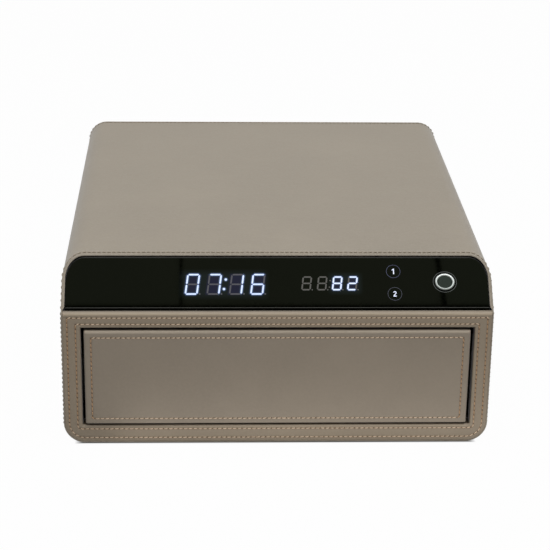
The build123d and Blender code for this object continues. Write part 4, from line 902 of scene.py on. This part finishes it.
CLOCK = (["0", "7", "1", "6"], (-75.7, -58.0, -39.9, -22.6), CLOCK_LOW, 10.6, CLOCK_TALL, 1.3, DIGIT_LEAN, 0.34,
         1.7, 0.7)
SMALL_UNLIT = (["", ""], (18.9, 31.5), SMALL_LOW, 7.8, SMALL_TALL, 1.2, DIGIT_LEAN, 0.22, 1.3, 0.55)
SMALL_LIT = (["8", "2"], (43.8, 56.2), *SMALL_UNLIT[2:])
COLON = ((-42.2, 30.8), (-43.7, 22.4))
clock_lit, clock_unlit = display(*CLOCK)
clock_lit += [disc(*place, 1.0) for place in COLON]
small_lit, small_unlit = display(*SMALL_LIT)
small_unlit += display(*SMALL_UNLIT)[1]
small_unlit += [disc(42.8, 29.8, 0.6), disc(42.0, 24.0, 0.6)]
clock_light = lit_finish("clock_light", (0.72, 0.84, 1.0, 1), 1.15, (0.58, 0.70, 1.0, 1))
small_light = lit_finish("small_light", (0.78, 0.88, 1.0, 1), 1.15, (0.66, 0.76, 1.0, 1))
dark_segment = dim_finish("dark_segment", (0.030, 0.030, 0.034, 1), (0.038, 0.036, 0.042, 1))
small_dark_segment = dim_finish("small_dark_segment", (0.030, 0.030, 0.028, 1), (0.060, 0.056, 0.048, 1))
for name, spill, glow, depth in (("halo", 1.05, (0.0060, 0.022, 0.052, 1), 0.02),
                                 ("rim", 0.22, (0.11, 0.17, 0.46, 1), 0.04)):
    finish = dim_finish("clock_" + name, (0.004, 0.005, 0.006, 1), glow)
    outlines = display(*CLOCK, spill)[0] + display(*SMALL_LIT, 0.8 * spill)[0]
    outlines += [disc(*place, 1.0 + spill) for place in COLON]
    piece("clock_" + name, *plates(outlines, GLASS_FACE - depth), finish, "case", sharp=True)
piece("clock_lit_segments", *plates(clock_lit), clock_light, "case", sharp=True)
piece("clock_dark_segments", *plates(clock_unlit), dark_segment, "case", sharp=True)
piece("thermometer_lit_segments", *plates(small_lit), small_light, "case", sharp=True)
piece("thermometer_dark_segments", *plates(small_unlit), small_dark_segment, "case", sharp=True)


def flat_ring(x, s, inner, outer, top, bottom, squat=1.0, sides=72):
    a = np.arange(sides) * 2 * math.pi / sides
    rows = [bevel(x + r * np.cos(a), s + squat * r * np.sin(a), d)
            for r, d in ((inner, bottom), (inner, top), (outer, top), (outer, bottom))]
    return np.concatenate(rows).tolist(), ring_faces(4, sides)


PRINT_DEPTHS = (GLASS_FACE - 0.05, PLATE_BOTTOM)
KEYS = ((94.6, 38.0, 1), (95.2, 18.1, 2))
for (x, s, number), glow in zip(KEYS, ((0.050, 0.055, 0.110, 1), (0.044, 0.046, 0.062, 1))):
    ring_glow = dim_finish(f"key_{number}_print", (0.03, 0.03, 0.04, 1), glow)
    piece(f"key_{number}_ring", *flat_ring(x, s, 5.53, 5.82, *PRINT_DEPTHS), ring_glow, "case", sharp=True)
reader_print = dim_finish("reader_print", (0.03, 0.03, 0.03, 1), (0.050, 0.056, 0.050, 1))
piece("reader_outer_ring", *flat_ring(*READER, 9.35, 9.75, *PRINT_DEPTHS, 0.95), reader_print, "case", sharp=True)

# The reader's chrome ring: a rounded bead on a barrel
BEAD = ((8.2, 3.4), (8.2, 0.2), (8.1, -0.12), (7.85, -0.36), (7.45, -0.52), (7.05, -0.58), (6.65, -0.52),
        (6.3, -0.34), (6.05, -0.08), (5.92, 0.25), (5.9, 0.6), (5.9, 3.4))
BEAD_SIDES, BEAD_SQUAT = 96, 0.90
around = np.arange(BEAD_SIDES) * 2 * math.pi / BEAD_SIDES
rings = [bevel(READER[0] + r * np.cos(around), READER[1] + BEAD_SQUAT * r * np.sin(around), d) for r, d in BEAD]
piece("reader_bead", np.concatenate(rings), ring_faces(len(rings), BEAD_SIDES), ring_finish("bead_chrome"), "case",
      "ring_chrome", ["fingerprint_ring"])


def ribbon(path, width):
    """The outline of a stroke of even width along a path."""
    path = np.array(path, float)
    way = np.gradient(path, axis=0)
    way /= np.linalg.norm(way, axis=1, keepdims=True)
    side = np.stack([-way[:, 1], way[:, 0]], 1) * width / 2
    return np.concatenate([path + side, (path - side)[::-1]])


def numerals():
    """A plain 1 and 2, about 5 mm tall, as outlines round their middles."""
    one = np.array([(0.75, 2.5), (0.75, -2.5), (-0.10, -2.5), (-0.10, 1.35), (-1.25, 0.75), (-1.25, 1.50),
                    (0.05, 2.5)])
    turn = np.radians(np.linspace(168, -38, 16))
    arc = np.stack([1.12 * np.cos(turn) + 0.02, 1.02 + 1.0 * np.sin(turn)], 1)
    slope = np.array([(0.45, -0.10), (-0.35, -0.90), (-0.85, -1.55)])
    two = ribbon(np.concatenate([arc, slope]), 0.74)
    base = np.array([(-1.45, -2.5), (1.45, -2.5), (1.45, -1.6), (-1.35, -1.6)])
    return [[one], [two, base]]


key_light = lit_finish("key_light", (0.86, 0.92, 1.0, 1), 1.2, (0.66, 0.72, 1.0, 1))
outlines = []
for (x, s, _), shapes in zip(KEYS, numerals()):
    outlines += [shape * [0.88, 0.96] + [x, s] for shape in shapes]
piece("key_numbers", *plates(outlines), key_light, "case", sharp=True)

# ---------------- camera
PHOTO_SIDE, SENSOR = 550, 36.0
FOCAL_PX = 1790.2559336499094
PITCH_DOWN, YAW, ROLL = 0.37230662323551894, 0.04331244219872532, -0.015470964151954768
CAMERA_AT = (-0.0609090533, -1.54195421883, 0.6712447078)
ahead = Vector((math.sin(YAW) * math.cos(PITCH_DOWN), math.cos(YAW) * math.cos(PITCH_DOWN), -math.sin(PITCH_DOWN)))
level_right = Vector((math.cos(YAW), -math.sin(YAW), 0.0))
level_down = ahead.cross(level_right)
right = math.cos(ROLL) * level_right + math.sin(ROLL) * level_down
down = math.cos(ROLL) * level_down - math.sin(ROLL) * level_right
camera_data = bpy.data.cameras.new("camera")
camera_data.sensor_width = SENSOR
camera_data.lens = FOCAL_PX / PHOTO_SIDE * SENSOR
camera = linked("camera", camera_data)
camera.matrix_world = Matrix.Translation(CAMERA_AT) @ Matrix((right, -down, -ahead)).transposed().to_4x4()
scene.camera = camera


# ---------------- floor, light and surroundings
def sheet(name, corners, material):
    """A flat four-cornered thing of the studio."""
    mesh = bpy.data.meshes.new(name)
    mesh.from_pydata(corners, [], [(0, 1, 2, 3)])
    mesh.materials.append(material)
    return linked(name, mesh)


world = bpy.data.worlds.new("studio")
scene.world = world
world.use_nodes = True
net = Nodes(world.node_tree)
background = net.tree.nodes["Background"]
background.inputs["Color"].default_value = (1, 1, 1, 1)
net.tree.links.new(net.ranged(net.seen_directly(), 0.0, 1.0, 0.15, 1.0), background.inputs["Strength"])

# The floor looks white except under the safe, and lights the safe as a grey floor does
WHITE_SHARE = 0.98
floor_material = bpy.data.materials.new("floor")
floor_material.use_nodes = True
net = Nodes(floor_material.node_tree)
net.tree.nodes.clear()
_, y, _, aside = net.axes(net.add("TexCoord", out="Object"))
outside = net.most(net.ranged(aside, 0.1600, 0.1670, 0.0, WHITE_SHARE),
                   net.ranged(net.math("ABSOLUTE", y), 0.2062, 0.2082, 0.0, WHITE_SHARE))
plain = net.add("BsdfDiffuse", {"Color": (0.52, 0.52, 0.52, 1)})
white = net.add("Emission", {"Strength": 1.0})
blend = net.add("MixShader", {0: net.product(net.seen_directly(), outside), 1: plain, 2: white})
net.tree.links.new(blend, net.tree.nodes.new("ShaderNodeOutputMaterial").inputs[0])
floor = sheet("floor", [(-6, -6, 0), (6, -6, 0), (6, 6, 0), (-6, 6, 0)], floor_material)


def lamp(name, place, target, size, power):
    data = bpy.data.lights.new(name, "AREA")
    data.shape = "SQUARE"
    data.size = size
    data.energy = power
    obj = linked(name, data)
    obj.location = place
    obj.rotation_mode = "QUATERNION"
    obj.rotation_quaternion = (Vector(target) - Vector(place)).to_track_quat("-Z", "Y")
    return obj


top_lamp = lamp("top_lamp", (0.1, -0.68, 2.3), (0.1, -0.3, 0.0), 2.5, 63.0)
top_lamp.data.color = (0.97, 1.0, 1.03)
card = lamp("floor_card", (0.07, -0.247, 0.002), (0.07, -0.247, 1.0), 0.40, 0.07)
card.data.shape = "RECTANGLE"
card.data.size_y = 0.06
card.visible_camera = card.visible_glossy = False

# Dark joints between the lamp's panels, which the glass mirrors: two thin lines and a broader one across them
joint_material = bpy.data.materials.new("lamp_joint")
joint_material.use_nodes = True
joint_shader = joint_material.node_tree.nodes["Principled BSDF"]
joint_shader.inputs["Base Color"].default_value = (0.0, 0.0, 0.0, 1)
joint_shader.inputs["Specular IOR Level"].default_value = 0.0
JOINT_HEIGHT, JOINTS_FROM, JOINTS_TO = 1.5, -1.1, -0.35
joints = []
for x_from, x_to, half_width in ((-0.0997, -0.0928, 0.0026), (0.403, 0.254, 0.0042)):
    joints.append([(x_from - half_width, JOINTS_FROM), (x_from + half_width, JOINTS_FROM),
                   (x_to + half_width, JOINTS_TO), (x_to - half_width, JOINTS_TO)])
joints.append([(-0.7, -0.86), (0.9, -0.86), (0.9, -0.7690), (-0.7, -0.7690)])
for number, corners in enumerate(joints):
    strip = sheet(f"lamp_joint_{number}", [(x, y, JOINT_HEIGHT) for x, y in corners], joint_material)
    strip.visible_camera = strip.visible_diffuse = strip.visible_shadow = False

# ---------------- bring the scene up to date
bpy.context.view_layer.update()
